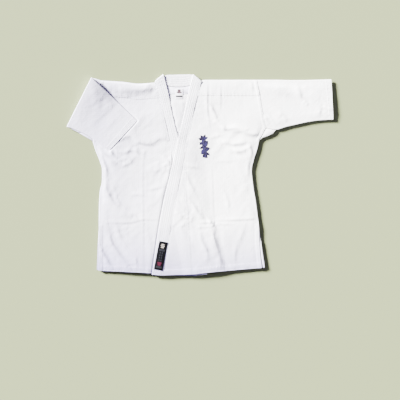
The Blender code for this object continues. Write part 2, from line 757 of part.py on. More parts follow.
def labels(black, white):
    """The woven label on the left lapel and the small one inside the neck."""
    lapel_top = TOP_LAPEL_HEIGHT[-1].free + BAND / 2
    outline = turned_rectangle((-70.0, 703.0), LAPEL_LABEL, 11.0)
    plate("lapel_label", outline, lapel_top + SEAM, lapel_top + SEAM + LABEL, black)
    lining_top = CLOTH + SEAM + 0.8
    outline = turned_rectangle((3.0, 56.0), NECK_LABEL, 0.0)
    plate("neck_label", outline, lining_top + SEAM, lining_top + SEAM + LABEL, white)


def clear_scene():
    for thing in list(bpy.data.objects):
        bpy.data.objects.remove(thing)


def main():
    clear_scene()
    cotton = material("white_cotton", WHITE_COTTON, 0.9)
    band = material("band_cotton", BAND_COTTON, 0.9)
    black = material("black_label", BLACK_LABEL, 0.6)
    white = material("white_label", WHITE_LABEL, 0.6)
    back_panel(cotton)
    front_panel("front_right", False, RIGHT_FOLDS, cotton)
    front_panel("front_left", True, LEFT_FOLDS, cotton)
    okumi("okumi_right", False, cotton)
    okumi("okumi_left", True, cotton)
    collar(band)
    left_sleeve(cotton)
    right_sleeve(cotton)
    gusset("gusset_left", LEFT_GUSSET, cotton)
    gusset("gusset_right", RIGHT_GUSSET, cotton)
    shoulder_lining(cotton)
    labels(black, white)


main()
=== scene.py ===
# A heavy cotton karate jacket laid flat on its back, with its right sleeve folded over the chest.
# Points are jacket millimetres: across from the centre line to the wearer's left, down from the shoulder.
import math
from collections import namedtuple

import bmesh
import bpy
import numpy as np
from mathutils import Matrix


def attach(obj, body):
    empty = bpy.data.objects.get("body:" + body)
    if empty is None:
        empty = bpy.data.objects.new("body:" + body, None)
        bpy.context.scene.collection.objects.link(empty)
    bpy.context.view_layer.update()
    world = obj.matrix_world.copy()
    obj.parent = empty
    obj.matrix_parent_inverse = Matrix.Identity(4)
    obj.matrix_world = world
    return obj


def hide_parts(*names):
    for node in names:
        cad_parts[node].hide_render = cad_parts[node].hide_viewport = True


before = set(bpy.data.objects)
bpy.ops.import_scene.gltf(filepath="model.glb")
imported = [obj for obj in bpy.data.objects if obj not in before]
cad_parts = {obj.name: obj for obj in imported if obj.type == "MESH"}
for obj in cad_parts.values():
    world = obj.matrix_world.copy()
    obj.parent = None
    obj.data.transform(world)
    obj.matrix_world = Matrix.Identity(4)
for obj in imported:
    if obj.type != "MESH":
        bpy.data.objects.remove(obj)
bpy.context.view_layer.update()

jacket = dict(
    centreLine=-86.0,     # from the origin, along X
    shoulder=380.0,       # from the origin, along Y
    cloth=1.2,            # one layer of drill
    seam=0.3,             # space between two pieces at their seam
    band=3.4,             # the collar band, several layers
    slit=0.6,             # air inside a flat sleeve
    hem=22.0,
    hemExtra=0.9,         # height that the turned-up hem adds
    roll=1.6,             # how far the cloth rounds over at a shoulder or side
    liningDepth=62.0,     # of the shoulder lining, below the shoulder
    liningExtra=0.7,
    ventTop=570.0,
    loft=1.2,             # air under the upper layer
    drape=0.97,           # share of a rise below it that its lower face follows
    grid=3.0,             # spacing of the finished cloth's points
    creaseDepth=1.0,      # less than 1 flattens every crease
)
clothThick = jacket["cloth"]
seamGap = jacket["seam"]
bandThick = jacket["band"]


def rowsOf(columns, *rows):
    return [namedtuple("Row", columns)(*row) for row in rows]


def col(rows, name):
    return np.array([getattr(row, name) for row in rows], float)


def smoothAt(rows, key, value, at):   # a smooth curve through the rows that never swings past them
    x, y = col(rows, key), col(rows, value)
    chord = np.diff(y) / np.diff(x)
    product = np.maximum(chord[:-1] * chord[1:], 0)
    slope = np.concatenate([chord[:1], 2 * product / (chord[:-1] + chord[1:] + 1e-12), chord[-1:]])
    at = np.clip(np.asarray(at, float), x[0], x[-1])
    i = np.clip(np.searchsorted(x, at, side="right") - 1, 0, len(x) - 2)
    step = x[i + 1] - x[i]
    t = (at - x[i]) / step
    return (
        y[i] * (1 + 2 * t) * (1 - t) ** 2 + y[i + 1] * t * t * (3 - 2 * t)
        + step * (slope[i] * t * (1 - t) ** 2 - slope[i + 1] * t * t * (1 - t))
    )


def acrossAt(rows, down):
    return smoothAt(rows, "down", "across", down)


def downAt(rows, across):
    return smoothAt(rows, "across", "down", across)


def ease(x):
    x = np.clip(x, 0.0, 1.0)
    return x * x * (3 - 2 * x)


def steps(start, end, spacing):
    return list(np.linspace(start, end, max(2, int(round(abs(end - start) / spacing)) + 1)))


# Outlines of the laid jacket, as in the solids

leftGussetSeam = rowsOf("down across", (192, 350), (239, 324))
leftArmhole = rowsOf("down across", (0, 314), (192, 350))
leftSide = rowsOf(
    "down across",
    (239, 324), (276, 316), (320, 302), (360, 294), (416, 299), (492, 311), (580, 322), (660, 332),
    (750, 346),
)
rightArmhole = rowsOf("down across", (0, 308), (200, 348))
rightGussetSeam = rowsOf("down across", (200, 348), (246, 342))
rightSide = rowsOf(
    "down across",
    (246, 342), (280, 332), (320, 316), (360, 305), (400, 305), (448, 314), (500, 317), (580, 318),
    (660, 322), (765, 326),
)
leftHem = rowsOf("across down", (-61, 781), (54, 777), (118, 770), (226, 760), (346, 750))
rightHem = rowsOf("across down", (-326, 762), (-134, 771), (6, 782), (80, 784))
backHem = rowsOf("across down", (-326, 760), (-134, 767), (54, 768), (226, 758), (346, 750))
rightShoulder = rowsOf("across down", (-310, 2), (-220, 8), (-160, 15), (-100, 11), (-70, 8))
leftShoulder = rowsOf("across down", (70, 3), (120, 0), (320, 0))
lapelEdge = rowsOf(
    "down across width",
    (-23, 61, 43), (38, 44, 39), (136, 24, 34), (240, -1, 36), (348, -25, 40), (500, -61, 45), (624, -83, 46),
    (778, -105, 44),
)
okumiSeam = rowsOf("down across", (285, 27), (400, 30), (548, 40), (790, 55))
topLapelHeight = rowsOf(
    "down free seam",
    (-23, 5.6, 5.6), (60, 4.7, 4.6), (130, 3.7, 3.6), (190, 4.9, 3.6), (232, 7.3, 4.6), (250, 7.4, 5.6),
    (290, 7.3, 7.1), (350, 7.1, 7.3), (400, 6.1, 7.2), (440, 5.4, 7.0), (500, 5.0, 5.4), (560, 4.9, 4.9),
    (790, 4.9, 4.9),
)
coveredLapelHeight = rowsOf(
    "down free seam",
    (-23, 5.6, 5.6), (20, 4.7, 4.9), (56, 4.3, 4.4), (80, 3.1, 3.7), (130, 3.0, 3.4), (790, 3.0, 3.3),
)


# Creases: each row is the dark line of a fold as it lies, its height, and how far it falls on its steep
# side, away from the window, and on its gentle side

def creases(*rows):
    return rowsOf("path height steep gentle", *rows)


rightFrontCreases = creases(
    (((-298, 328), (-290, 396), (-278, 452), (-238, 508), (-174, 548)), 2.6, 10, 28),
    (((-266, 396), (-250, 448), (-234, 488), (-202, 516), (-174, 540)), 1.2, 8, 12),
    (((-320, 276), (-291, 299), (-257, 322), (-240, 328)), 1.6, 8, 11),
    (((-322, 262), (-300, 286), (-272, 306)), 0.9, 6, 9),
    (((-300, 280), (-276, 298), (-250, 306), (-214, 300)), 1, 7, 10),
    (((-262, 284), (-240, 294), (-216, 288)), 0.9, 6, 9),
    (((-312, 300), (-298, 326), (-290, 350)), 1.1, 6, 9),
    (((-234, 328), (-210, 316), (-186, 332)), 1, 7, 10),
    (((-226, 348), (-194, 336)), 1, 6, 9),
    (((-228, 224), (-188, 230), (-154, 253), (-108, 259), (-74, 238), (-46, 242)), 2.2, 8, 20),
    (((-258, 252), (-232, 240), (-206, 230)), 1.5, 6, 10),
    (((-222, 298), (-188, 284), (-162, 292)), 1.4, 6, 10),
    (((-166, 300), (-184, 328), (-214, 346)), 0.9, 6, 12),
    (((-166, 252), (-154, 300)), 0.9, 7, 9),
    (((-131, 276), (-137, 320)), 1.1, 6, 9),
    (((-276, 272), (-258, 298), (-238, 312)), 1.9, 6, 9),
    (((-206, 312), (-186, 268), (-146, 254)), 0.9, 6, 9),
    (((-302, 320), (-286, 356), (-280, 390)), 1.8, 8, 12),
    (((-268, 48), (-206, 52), (-150, 46), (-84, 38)), 3.4, 17, 24),
    (((-240, 68), (-200, 72), (-150, 66)), 1.4, 10, 18),
    (((-312, -6), (-292, 26), (-262, 66)), -2.4, 10, 14),
    (((-122, 6), (-108, 28)), 1.1, 6, 9),
    (((-252, 12), (-224, 26)), 0.9, 6, 9),
    (((-62, 304), (-38, 324), (-30, 344)), 1.3, 6, 10),
    (((-126, 372), (-74, 364), (-42, 364)), 1.2, 9, 22),
    (((-306, 672), (-294, 700), (-266, 744)), 1.9, 7, 13),
    (((-278, 588), (-266, 644), (-242, 684), (-194, 748)), 2, 8, 20),
    (((-170, 708), (-162, 740)), 0.9, 5, 9),
    (((-194, 460), (-134, 464)), 0.9, 6, 10),
    (((-140, 296), (-141, 420), (-139, 600), (-140, 756)), 0.55, 3.5, 10),
    (((-302, 572), (-194, 572), (-146, 560), (-74, 560)), 0.8, 4, 10),
    (((-134, 444), (-54, 428)), 0.9, 6, 12),
    (((-250, 560), (-236, 610), (-214, 650)), 0.9, 7, 13),
    (((-120, 600), (-108, 660), (-112, 720)), 0.7, 7, 13),
)
leftFrontCreases = creases(
    (((118, 10), (118, 116), (130, 196)), 1.1, 4, 9),
    (((122, 92), (142, 120), (158, 156)), 1.6, 6, 11),
    (((290, 316), (290, 404)), 0.8, 7, 10),
    (((286, 256), (298, 296)), 0.8, 7, 9),
    (((134, 168), (158, 180), (186, 200), (226, 196), (266, 200)), 2.5, 7, 13),
    (((198, 216), (246, 208), (286, 220), (326, 224)), 2.5, 8, 13),
    (((126, 236), (154, 228), (170, 224)), 1.2, 6, 10),
    (((170, 252), (226, 260), (278, 252)), 2.1, 7, 12),
    (((174, 264), (214, 282), (246, 290), (282, 274), (298, 262)), 1.7, 7, 10),
    (((146, 328), (218, 328)), 0.9, 6, 12),
    (((290, 268), (302, 308)), 0.7, 7, 9),
    (((282, 336), (282, 388)), 1, 6, 10),
    (((26, 344), (82, 356)), 0.9, 6, 10),
    (((34, 376), (52, 420), (74, 460)), 1.2, 7, 12),
    (((54, 488), (82, 528), (102, 556)), 1.6, 7, 12),
    (((90, 508), (106, 556)), 1, 5, 9),
    (((122, 556), (146, 584)), 1.9, 6, 9),
    (((86, 572), (138, 572)), 1.1, 5, 9),
    (((70, 592), (134, 588)), 0.9, 5, 9),
    (((146, 584), (150, 636), (162, 684), (182, 762)), 2.7, 10, 22),
    (((138, 604), (146, 644)), 1, 5, 9),
    (((90, 604), (98, 648), (118, 684), (118, 724)), 1.6, 7, 12),
    (((270, 588), (254, 628), (246, 656)), 1.2, 8, 12),
    (((238, 648), (230, 696), (230, 724)), 1.1, 7, 11),
    (((134, 336), (138, 450), (142, 564)), 0.5, 3.5, 10),
    (((146, 564), (246, 560), (314, 556)), 1, 4, 10),
    (((146, 576), (214, 580)), 0.8, 5, 9),
    (((186, 448), (202, 488), (202, 524)), 0.9, 6, 10),
    (((170, 10), (170, 124)), 0.6, 3.5, 9),
    (((296, 4), (298, 44)), 0.9, 4, 9),
    (((-10, 520), (22, 548)), 0.9, 6, 9),
    (((-26, 592), (-6, 572)), 0.8, 5, 11),
    (((6, 588), (30, 580)), 0.8, 5, 11),
)
leftSleeveCreases = creases(
    (((334, 30), (426, 56), (486, 70), (566, 94)), 2.2, 22, 24),
    (((474, -4), (486, 44), (498, 88)), 0.9, 6, 14),
    (((498, 76), (526, 100)), 1.1, 5, 12),
    (((570, 108), (566, 156)), 1.0, 5, 12),
    (((574, 108), (618, 128)), 1.0, 5, 12),
    (((336, 140), (352, 150), (366, 184)), 1.2, 6, 12),
    (((356, 134), (380, 162)), 1.0, 6, 12),
    (((390, 120), (420, 138), (440, 170)), 0.9, 8, 16),
)
rightSleeveCreases = creases(
    (((-376, 56), (-384, 96), (-388, 136), (-404, 172)), 1.7, 16, 24),
    (((-352, 192), (-300, 142), (-246, 92)), 0.6, 7, 20),
    (((-240, 150), (-262, 176), (-290, 204)), 0.6, 7, 18),
)
backCreases = creases(
    (((-30, 112), (-14, 122), (-2, 136)), 0.4, 4, 8),
    (((-280, 300), (-180, 330), (-60, 320)), 0.6, 7, 14),
    (((-250, 520), (-120, 560), (40, 548), (220, 566)), 0.6, 6, 12),
    (((-140, 60), (-138, 300), (-142, 740)), 0.5, 4, 9),
    (((140, 40), (136, 360), (142, 740)), 0.5, 4, 9),
    (((60, 240), (160, 262), (290, 246)), 0.6, 7, 15),
    (((90, 640), (150, 690), (190, 740)), 0.5, 7, 14),
    (((-60, 430), (10, 470), (40, 530)), 0.5, 7, 14),
)
windowSide = np.array([-0.853, -0.522])   # towards the window, in jacket directions


def curveThrough(path, perStretch=9):   # a smooth curve through a few points
    points = np.array(path, float)
    if len(points) == 2:
        return points[0] + np.linspace(0, 1, perStretch)[:, None] * (points[1] - points[0])
    ends = np.concatenate([[2 * points[0] - points[1]], points, [2 * points[-1] - points[-2]]])
    out = []
    for i in range(1, len(ends) - 2):
        t = np.linspace(0, 1, perStretch, endpoint=False)[:, None]
        a, b, c, d = ends[i - 1], ends[i], ends[i + 1], ends[i + 2]
        out.append(0.5 * (2 * b + (c - a) * t + (2 * a - 5 * b + 4 * c - d) * t**2
                          + (3 * b - a - 3 * c + d) * t**3))
    out.append(points[-1:])
    return np.concatenate(out)


def nearPath(path, x, y):   # distance to a path, signed by its side, and how far along
    flat = np.stack([np.ravel(x), np.ravel(y)], 1)
    best = np.full(len(flat), 1e9)
    along = np.zeros(len(flat))
    side = np.zeros(len(flat))
    for i, (a, b) in enumerate(zip(path[:-1], path[1:])):
        step = b - a
        t = np.clip(((flat - a) @ step) / (step @ step), 0, 1)
        away = flat - (a + t[:, None] * step)
        apart = np.hypot(away[:, 0], away[:, 1])
        closer = apart < best
        best = np.where(closer, apart, best)
        along = np.where(closer, (i + t) / (len(path) - 1), along)
        side = np.where(closer, np.sign(step[0] * away[:, 1] - step[1] * away[:, 0]), side)
    return (best * side).reshape(np.shape(x)), along.reshape(np.shape(x))


def creaseHeight(rows, x, y, seed):
    total = np.zeros(np.shape(x))
    rng = np.random.default_rng(seed)
    for row in rows:
        path = curveThrough(row.path)
        reach = 3 * (row.steep + row.gentle)
        low, high = path.min(0) - reach, path.max(0) + reach
        near = (x > low[0]) & (x < high[0]) & (y > low[1]) & (y < high[1])
        phase, beat = rng.uniform(0, 6.28), rng.uniform(1.5, 3.0)
        if not near.any():
            continue
        apart, along = nearPath(path, x[near], y[near])
        chord = path[-1] - path[0]
        facing = chord[0] * windowSide[1] - chord[1] * windowSide[0]
        run = np.gradient(path, axis=0)
        across = np.abs(run[:, 0] * windowSide[1] - run[:, 1] * windowSide[0])
        square = np.interp(along, np.linspace(0, 1, len(path)), across / np.hypot(run[:, 0], run[:, 1]))
        height = jacket["creaseDepth"] * row.height * (1.7 - 0.9 * square)   # low where it faces the window
        s = apart * (1 if facing < 0 else -1)   # positive away from the window
        t = s + 0.7 * row.steep
        rise = np.where(t > 0, np.exp(-((t / row.steep) ** 2)), np.exp(-((t / row.gentle) ** 2)))
        trough = 0.4 * np.exp(-(((t - 2.3 * row.steep) / (1.3 * row.steep)) ** 2))
        uneven = 0.88 + 0.12 * np.sin(beat * 6.28 * along + phase)
        ends = np.sin(math.pi * np.clip(along, 0.02, 0.98)) ** 0.55
        total[near] += height * (rise - trough) * uneven * ends   # a crease dies away at its ends
    return total


def ripple(x, y, wavelength, seed, waves=9):   # an even noise of about plus and minus 1
    rng = np.random.default_rng(seed)
    total = np.zeros(np.shape(x))
    for _ in range(waves):
        angle = rng.uniform(0, math.pi)
        phase = rng.uniform(0, 6.28)
        size = wavelength * rng.uniform(0.7, 1.5)
        total += np.sin((x * math.cos(angle) + y * math.sin(angle)) * 2 * math.pi / size + phase)
    return total / math.sqrt(waves)


def softness(x, y, seed):   # how worn-in cloth never lies quite flat
    patchy = 0.55 + 0.45 * ripple(x, y, 210, seed + 3)
    bent = 14 * ripple(x, y, 130, seed + 5)
    return (
        0.85 * ripple(x, y, 190, seed) + 0.42 * ripple(x + bent, y, 80, seed + 1) * patchy
        + 0.17 * ripple(x, y + bent, 34, seed + 2) * patchy
        - 0.22 * np.abs(ripple(x + bent, y - bent, 62, seed + 6)) * patchy
    )


def above(floor, height):   # keeps a height over what it lies on, without a hard edge where it touches
    over = height - floor
    return floor + 0.5 * (over + np.sqrt(over**2 + 0.25))


def pucker(distance, along, reach, depth, seed):   # ripples that stitching draws up beside a seam
    wave = np.sin(along * 2 * math.pi / 13.0 + 2.6 * np.sin(along / 29.0 + seed))
    wave = wave * (0.5 + 0.5 * np.sin(along / 41.0 + 2 * seed))
    wave = wave + 0.5 * np.sin(along / 4.3 + 3 * np.sin(along / 67.0))
    return 0.7 * depth * np.exp(-np.maximum(distance, 0) / reach) * wave


def stitchGroove(distance, at, depth=0.3, width=1.3):
    return -depth * np.exp(-(((distance - at) / width) ** 2))


sewing = dict(   # how far each row of stitches runs from the edge or seam that it follows
    armhole=(2.5, 8.0),
    hem=(3.5, 19.0),
    vent=13.0,
    lining=4.0,
    besideBand=4.0,
    okumi=(2.5, 8.0),
    cuff=(3, 8, 13, 18.5),
    spacing=3.0,          # between the points that a row is drawn through
    proud=0.15,           # of the cloth
)


# Where the band and the covered parts lie

lapel = dict(
    top=-23.0,            # where the band folds over beside the neck
    end=778.0,
    lean=14.0,            # degrees, of a line across the band against the hem
    topLean=25.0,         # more at the fold
    endLean=4.0,
    coveredShift=10.0,    # how far the covered lapel's foot lies further in
)


def lapelRows(down, covered):   # the band's free edge and seam edge
    side = -1 if covered else 1
    across = acrossAt(lapelEdge, down)
    if covered:
        across = across - lapel["coveredShift"] * ease((down - 560) / 220)
    width = smoothAt(lapelEdge, "down", "width", down)
    lean = np.radians(lapel["lean"] + lapel["topLean"] * (1 - ease((down - lapel["top"]) / 80)))
    level = ease((down - 700) / 70)
    lean = lean * (1 - level) + np.radians(lapel["endLean"]) * level
    free = np.stack([side * across, down], -1)
    seam = free + np.stack([side * width * np.cos(lean), width * np.sin(lean)], -1)
    return free, seam


lapelDown = np.linspace(lapel["top"], lapel["end"], 200)
coveredFree, coveredSeam = lapelRows(lapelDown, True)
coveredMiddle = (coveredFree + coveredSeam) / 2
topSeam = lapelRows(lapelDown, False)[1]


def bandSeam(down, covered):
    seam = coveredSeam if covered else topSeam
    return np.interp(down, seam[:, 1], seam[:, 0])


overlap = dict(   # where the left front comes up over the covered lapel and the right front
    rise=3.5,
    flat=32.0,            # full height this far each side of the lapel's middle
    slope=75.0,
    top=215.0,
    frontTop=225.0,
    fade=30.0,
)


def coveredRise(x, y):   # how far they lift what lies over them
    apart, _ = nearPath(coveredMiddle[::4], x, y)
    overBand = overlap["rise"] * (1 - ease((np.abs(apart) - overlap["flat"]) / overlap["slope"]))
    overBand = overBand * ease((y - overlap["top"]) / overlap["fade"])
    inside = x < np.interp(y, coveredMiddle[:, 1], coveredMiddle[:, 0])
    started = ease((y - overlap["frontTop"]) / overlap["fade"])
    overFront = np.where(inside, (clothThick + seamGap + 0.1) * started, 0.0)
    return np.maximum(overBand, overFront)


def upToBand(y, rise):   # how far the left front comes up where it goes into the band
    bandTop = smoothAt(topLapelHeight, "down", "seam", y) + bandThick / 2 - 0.9
    frontHeight = 2 * clothThick + seamGap + jacket["loft"] + rise
    return np.maximum(bandTop - 0.4 - frontHeight, 0) * ease((y - 30) / 60)


def underLapel(x, y):   # 1 where the right front lies under the left one
    free = acrossAt(lapelEdge, y)
    return ease((x - free + 16) / 14) * ease((y - 200) / 40)


foldedSleeve = rowsOf(   # from its fold to its cuff
    "along topAcross topDown underAcross underDown",
    (0.0, -347, -9, -447.2, 186), (0.12, -325, 12, -425, 194), (0.3, -292, 42, -392, 208),
    (0.5, -255, 77, -354, 227), (0.75, -210, 120, -314, 254), (1.0, -164.4, 162.4, -275, 281),
)
foldedCuff = np.array(foldedSleeve[-1][1:]).reshape(2, 2)   # its upper and lower corner


def underSleeve(x, y):   # 1 under the folded sleeve
    corners = [(r.topAcross, r.topDown) for r in foldedSleeve]
    corners += [(r.underAcross, r.underDown) for r in foldedSleeve[::-1]]
    outline = np.array(corners + corners[:1], float)
    apart, _ = nearPath(outline, x, y)
    inside = np.zeros(np.shape(x), bool)
    for (x1, y1), (x2, y2) in zip(outline[:-1], outline[1:]):
        crosses = (y1 > y) != (y2 > y)
        inside ^= crosses & (x < x1 + (y - y1) * (x2 - x1) / (y2 - y1 + 1e-9))
    return np.where(inside, 1.0, 1 - ease(np.abs(apart) / 6))


# Meshes

def inScene(points):   # jacket millimetres to the frame's metres
    p = np.asarray(points, float).reshape(-1, 3)
    placed = [(p[:, 0] + jacket["centreLine"]) / 1000, (jacket["shoulder"] - p[:, 1]) / 1000, p[:, 2] / 1000]
    return np.stack(placed, 1)


def placeInScene(name, data):
    thing = bpy.data.objects.new(name, data)
    bpy.context.scene.collection.objects.link(thing)
    return thing


def newPiece(name, points, faces, finish, smooth=True, edges=()):
    mesh = bpy.data.meshes.new(name)
    mesh.from_pydata(inScene(points).tolist(), list(edges), faces)
    if faces:
        shape = bmesh.new()
        shape.from_mesh(mesh)
        bmesh.ops.recalc_face_normals(shape, faces=shape.faces)
        if shape.calc_volume(signed=True) < 0:
            bmesh.ops.reverse_faces(shape, faces=shape.faces)
        shape.to_mesh(mesh)
        shape.free()
    if finish:
        mesh.materials.append(finish)
    if smooth and faces:
        mesh.shade_smooth()
        mesh.set_sharp_from_angle(angle=math.radians(50))
    return placeInScene(name, mesh)


def sheetOf(name, across, down, top, bottom, finish):   # a closed shell between two fields of heights
    rows, columns = across.shape
    index = np.arange(rows * columns).reshape(rows, columns)
    under = index + rows * columns
    quads = np.stack([index[:-1, :-1], index[:-1, 1:], index[1:, 1:], index[1:, :-1]], -1).reshape(-1, 4)
    below = np.stack([under[:-1, :-1], under[1:, :-1], under[1:, 1:], under[:-1, 1:]], -1).reshape(-1, 4)
    border = [(0, j) for j in range(columns)] + [(i, columns - 1) for i in range(1, rows)]
    border += [(rows - 1, j) for j in range(columns - 2, -1, -1)] + [(i, 0) for i in range(rows - 2, 0, -1)]
    sides = [(index[a], under[a], under[b], index[b]) for a, b in zip(border, border[1:] + border[:1])]
    points = np.concatenate([np.stack([across, down, z], -1).reshape(-1, 3) for z in (top, bottom)])
    faces = quads.tolist() + below.tolist() + [tuple(int(v) for v in s) for s in sides]
    return newPiece(name, points, faces, finish)


def tubeOf(name, rings, finish, hollow=None):   # a solid through rings, or a wall that is open at both ends
    rows, count = rings.shape[:2]
    index = np.arange(rows * count).reshape(rows, count)
    turned = np.roll(index, -1, axis=1)
    faces = np.stack([index[:-1], turned[:-1], turned[1:], index[1:]], -1).reshape(-1, 4).tolist()
    if hollow is None:
        faces += [tuple(int(v) for v in index[0][::-1]), tuple(int(v) for v in index[-1])]
        return newPiece(name, rings, faces, finish)
    inner, innerTurned = index + rows * count, turned + rows * count
    faces += np.stack([inner[:-1], inner[1:], innerTurned[1:], innerTurned[:-1]], -1).reshape(-1, 4).tolist()
    for i in (0, rows - 1):
        faces += np.stack([index[i], inner[i], innerTurned[i], turned[i]], -1).tolist()
    return newPiece(name, np.concatenate([rings.reshape(-1, 3), hollow.reshape(-1, 3)]), faces, finish)


def plateOf(name, outline, low, high, finish, bevel=0.3):   # a flat piece with rounded edges
    count = len(outline)
    points = [(x, y, z) for z in (low, high) for x, y in outline]
    faces = [tuple(range(count))[::-1], tuple(range(count, 2 * count))]
    faces += [(j, (j + 1) % count, count + (j + 1) % count, count + j) for j in range(count)]
    piece = newPiece(name, points, faces, finish, smooth=False)
    if bevel:
        shape = bmesh.new()
        shape.from_mesh(piece.data)
        flat = [e for e in shape.edges if len(e.link_faces) == 2]
        flat = [e for e in flat if any(abs(f.normal.z) > 0.9 for f in e.link_faces)]
        bmesh.ops.bevel(shape, geom=flat, offset=bevel / 1000, segments=3, profile=0.5, affect="EDGES")
        shape.to_mesh(piece.data)
        shape.free()
        piece.data.shade_smooth()
        piece.data.set_sharp_from_angle(angle=math.radians(60))
    return piece


def joined(name, pieces):
    shape = bmesh.new()
    for piece in pieces:
        shape.from_mesh(piece.data)
    mesh = bpy.data.meshes.new(name)
    shape.to_mesh(mesh)
    shape.free()
    mesh.materials.append(pieces[0].data.materials[0])
    mesh.shade_smooth()
    mesh.set_sharp_from_angle(angle=math.radians(60))
    for piece in pieces:
        bpy.data.objects.remove(piece)
    return placeInScene(name, mesh)


# Materials

def linear(hexColour):
    parts = [int(hexColour[i:i + 2], 16) / 255 for i in (1, 3, 5)]
    return tuple(c / 12.92 if c <= 0.04045 else ((c + 0.055) / 1.055) ** 2.4 for c in parts) + (1.0,)


def addNode(tree, kind, settings=(), inputs=(), links=()):   # sockets go by name or by number
    node = tree.nodes.new(kind)
    for name, value in dict(settings).items():
        setattr(node, name, value)
    for name, value in dict(inputs).items():
        node.inputs[name].default_value = value
    for name, source in dict(links).items():
        tree.links.new(source, node.inputs[name])
    return node


def newFinish(name, roughness, sheen=0.0, specular=0.3):
    finish = bpy.data.materials.new(name)
    finish.use_nodes = True
    tree = finish.node_tree
    shader = tree.nodes["Principled BSDF"]
    shader.inputs["Roughness"].default_value = roughness
    shader.inputs["Sheen Weight"].default_value = sheen
    shader.inputs["Sheen Roughness"].default_value = 0.45
    shader.inputs["Specular IOR Level"].default_value = specular
    return finish, tree, shader


# Cotton drill: bleached yarn in a dense weave gives a matt white with a trace of blue and a soft edge glow.
# Its colour also holds painted light and shade: white on the chest, a painted lavender grey towards the right
# side and the hem
drill = dict(
    white="#FBFAF5",        # the colour where the painted light is brightest
    # the painted shade colour, towards the right side and the hem
    shade="#BEBBCC",
    ridges=0.010058,        # metres between the drawn ridges, about twelve times the real 0.8 mm
    bump=0.00012,
    crumple=42.0,           # small soft handling marks, about 24 mm apart
    crumpleDepth=0.0008,
    cloud=9.0,              # uneven whiteness, in patches of about 110 mm
    fade=(-0.42, 0.12),     # metres across, from the painted shade on the right side to full white
    grey=(-0.445, -0.18),   # metres along, from the hem, where the painted shade is darkest, to where it ends
    hemPaintedShade=0.6,            # how far past the shade colour the painted shade goes at the hem
    roughness=0.88,
    sheen=0.12,
)


def cottonDrill(name, turn, white=drill["white"], shade=drill["shade"]):
    finish, tree, shader = newFinish(name, drill["roughness"], drill["sheen"], 0.25)
    where = addNode(tree, "ShaderNodeTexCoord").outputs["Object"]
    turned = (0, 0, math.radians(turn))
    mapping = addNode(tree, "ShaderNodeMapping", {}, {"Rotation": turned}, {"Vector": where})
    grain = {"Vector": mapping.outputs[0]}
    weaveScale = 2 * math.pi / 20 / drill["ridges"]   # at scale 1 a band texture repeats 20 times in 2 pi
    warp = addNode(   # on the diagonal its ridges are 1.4 times as far apart
        tree, "ShaderNodeTexWave", {"wave_type": "BANDS", "bands_direction": "DIAGONAL"},
        {"Scale": weaveScale, "Distortion": 0.6, "Detail": 1.0, "Detail Scale": 2.0}, grain,
    )
    weft = addNode(
        tree, "ShaderNodeTexWave", {"wave_type": "BANDS", "bands_direction": "X"},
        {"Scale": weaveScale * 1.2, "Distortion": 0.9, "Detail": 1.0, "Detail Scale": 3.0}, grain,
    )
    slub = addNode(tree, "ShaderNodeTexNoise", {}, {"Scale": 140.0, "Detail": 4.0}, grain)
    weave = addNode(
        tree, "ShaderNodeMath", {"operation": "MULTIPLY"}, links={0: warp.outputs[1], 1: weft.outputs[1]}
    )
    height = addNode(
        tree, "ShaderNodeMath", {"operation": "MULTIPLY_ADD"}, {1: 1.4},
        {0: slub.outputs[0], 2: weave.outputs[0]},
    )
    crumple = addNode(
        tree, "ShaderNodeTexNoise", {},
        {"Scale": drill["crumple"], "Detail": 5.0, "Roughness": 0.55, "Distortion": 0.6}, {"Vector": where},
    )
    handled = addNode(
        tree, "ShaderNodeBump", {}, {"Strength": 1.0, "Distance": drill["crumpleDepth"]},
        {"Height": crumple.outputs[0]},
    )
    bump = addNode(
        tree, "ShaderNodeBump", {}, {"Strength": 0.55, "Distance": drill["bump"]},
        {"Height": height.outputs[0], "Normal": handled.outputs[0]},
    )
    tree.links.new(bump.outputs[0], shader.inputs["Normal"])
    cloud = addNode(
        tree, "ShaderNodeTexNoise", {}, {"Scale": drill["cloud"], "Detail": 3.0}, {"Vector": where}
    )
    slope = addNode(   # painted light: white on the chest, fading to painted shade towards the right side
        tree, "ShaderNodeVectorMath", {"operation": "DOT_PRODUCT"}, {1: (1.0, -0.15, 0.0)}, {0: where}
    )
    paintedLightAcross = addNode(
        tree, "ShaderNodeMapRange", {},
        {"From Min": drill["fade"][0], "From Max": drill["fade"][1], "To Min": -0.1, "To Max": 0.9},
        {"Value": slope.outputs["Value"]},
    )
    # random patches of whiteness, plus the painted light across the chest
    cloudAndPaintedLight = addNode(
        tree, "ShaderNodeMath", {"operation": "MULTIPLY_ADD", "use_clamp": True}, {1: 0.3},
        {0: cloud.outputs[0], 2: paintedLightAcross.outputs[0]},
    )
    place = addNode(tree, "ShaderNodeSeparateXYZ", links={"Vector": where})
    hemRange = {"From Min": drill["grey"][0], "From Max": drill["grey"][1]}
    paintedShadeToHem = addNode(tree, "ShaderNodeMapRange", {}, hemRange, {"Value": place.outputs["Y"]})
    below = addNode(   # painted shade that darkens the hem past the shade colour itself
        tree, "ShaderNodeMapRange", {}, {**hemRange, "To Min": -drill["hemPaintedShade"], "To Max": 0.0},
        {"Value": place.outputs["Y"]},
    )
    paintedShadeFactor = addNode(
        tree, "ShaderNodeMath", {"operation": "MULTIPLY_ADD"},
        links={0: cloudAndPaintedLight.outputs[0], 1: paintedShadeToHem.outputs[0], 2: below.outputs[0]},
    )
    # painted light and shade mixed into the base colour, with the random patches of whiteness
    toneAndPaintedShade = addNode(
        tree, "ShaderNodeMix", {"data_type": "RGBA", "clamp_factor": False},
        {6: linear(shade), 7: linear(white)}, {"Factor": paintedShadeFactor.outputs[0]},
    )
    tree.links.new(toneAndPaintedShade.outputs[2], shader.inputs["Base Color"])
    return finish


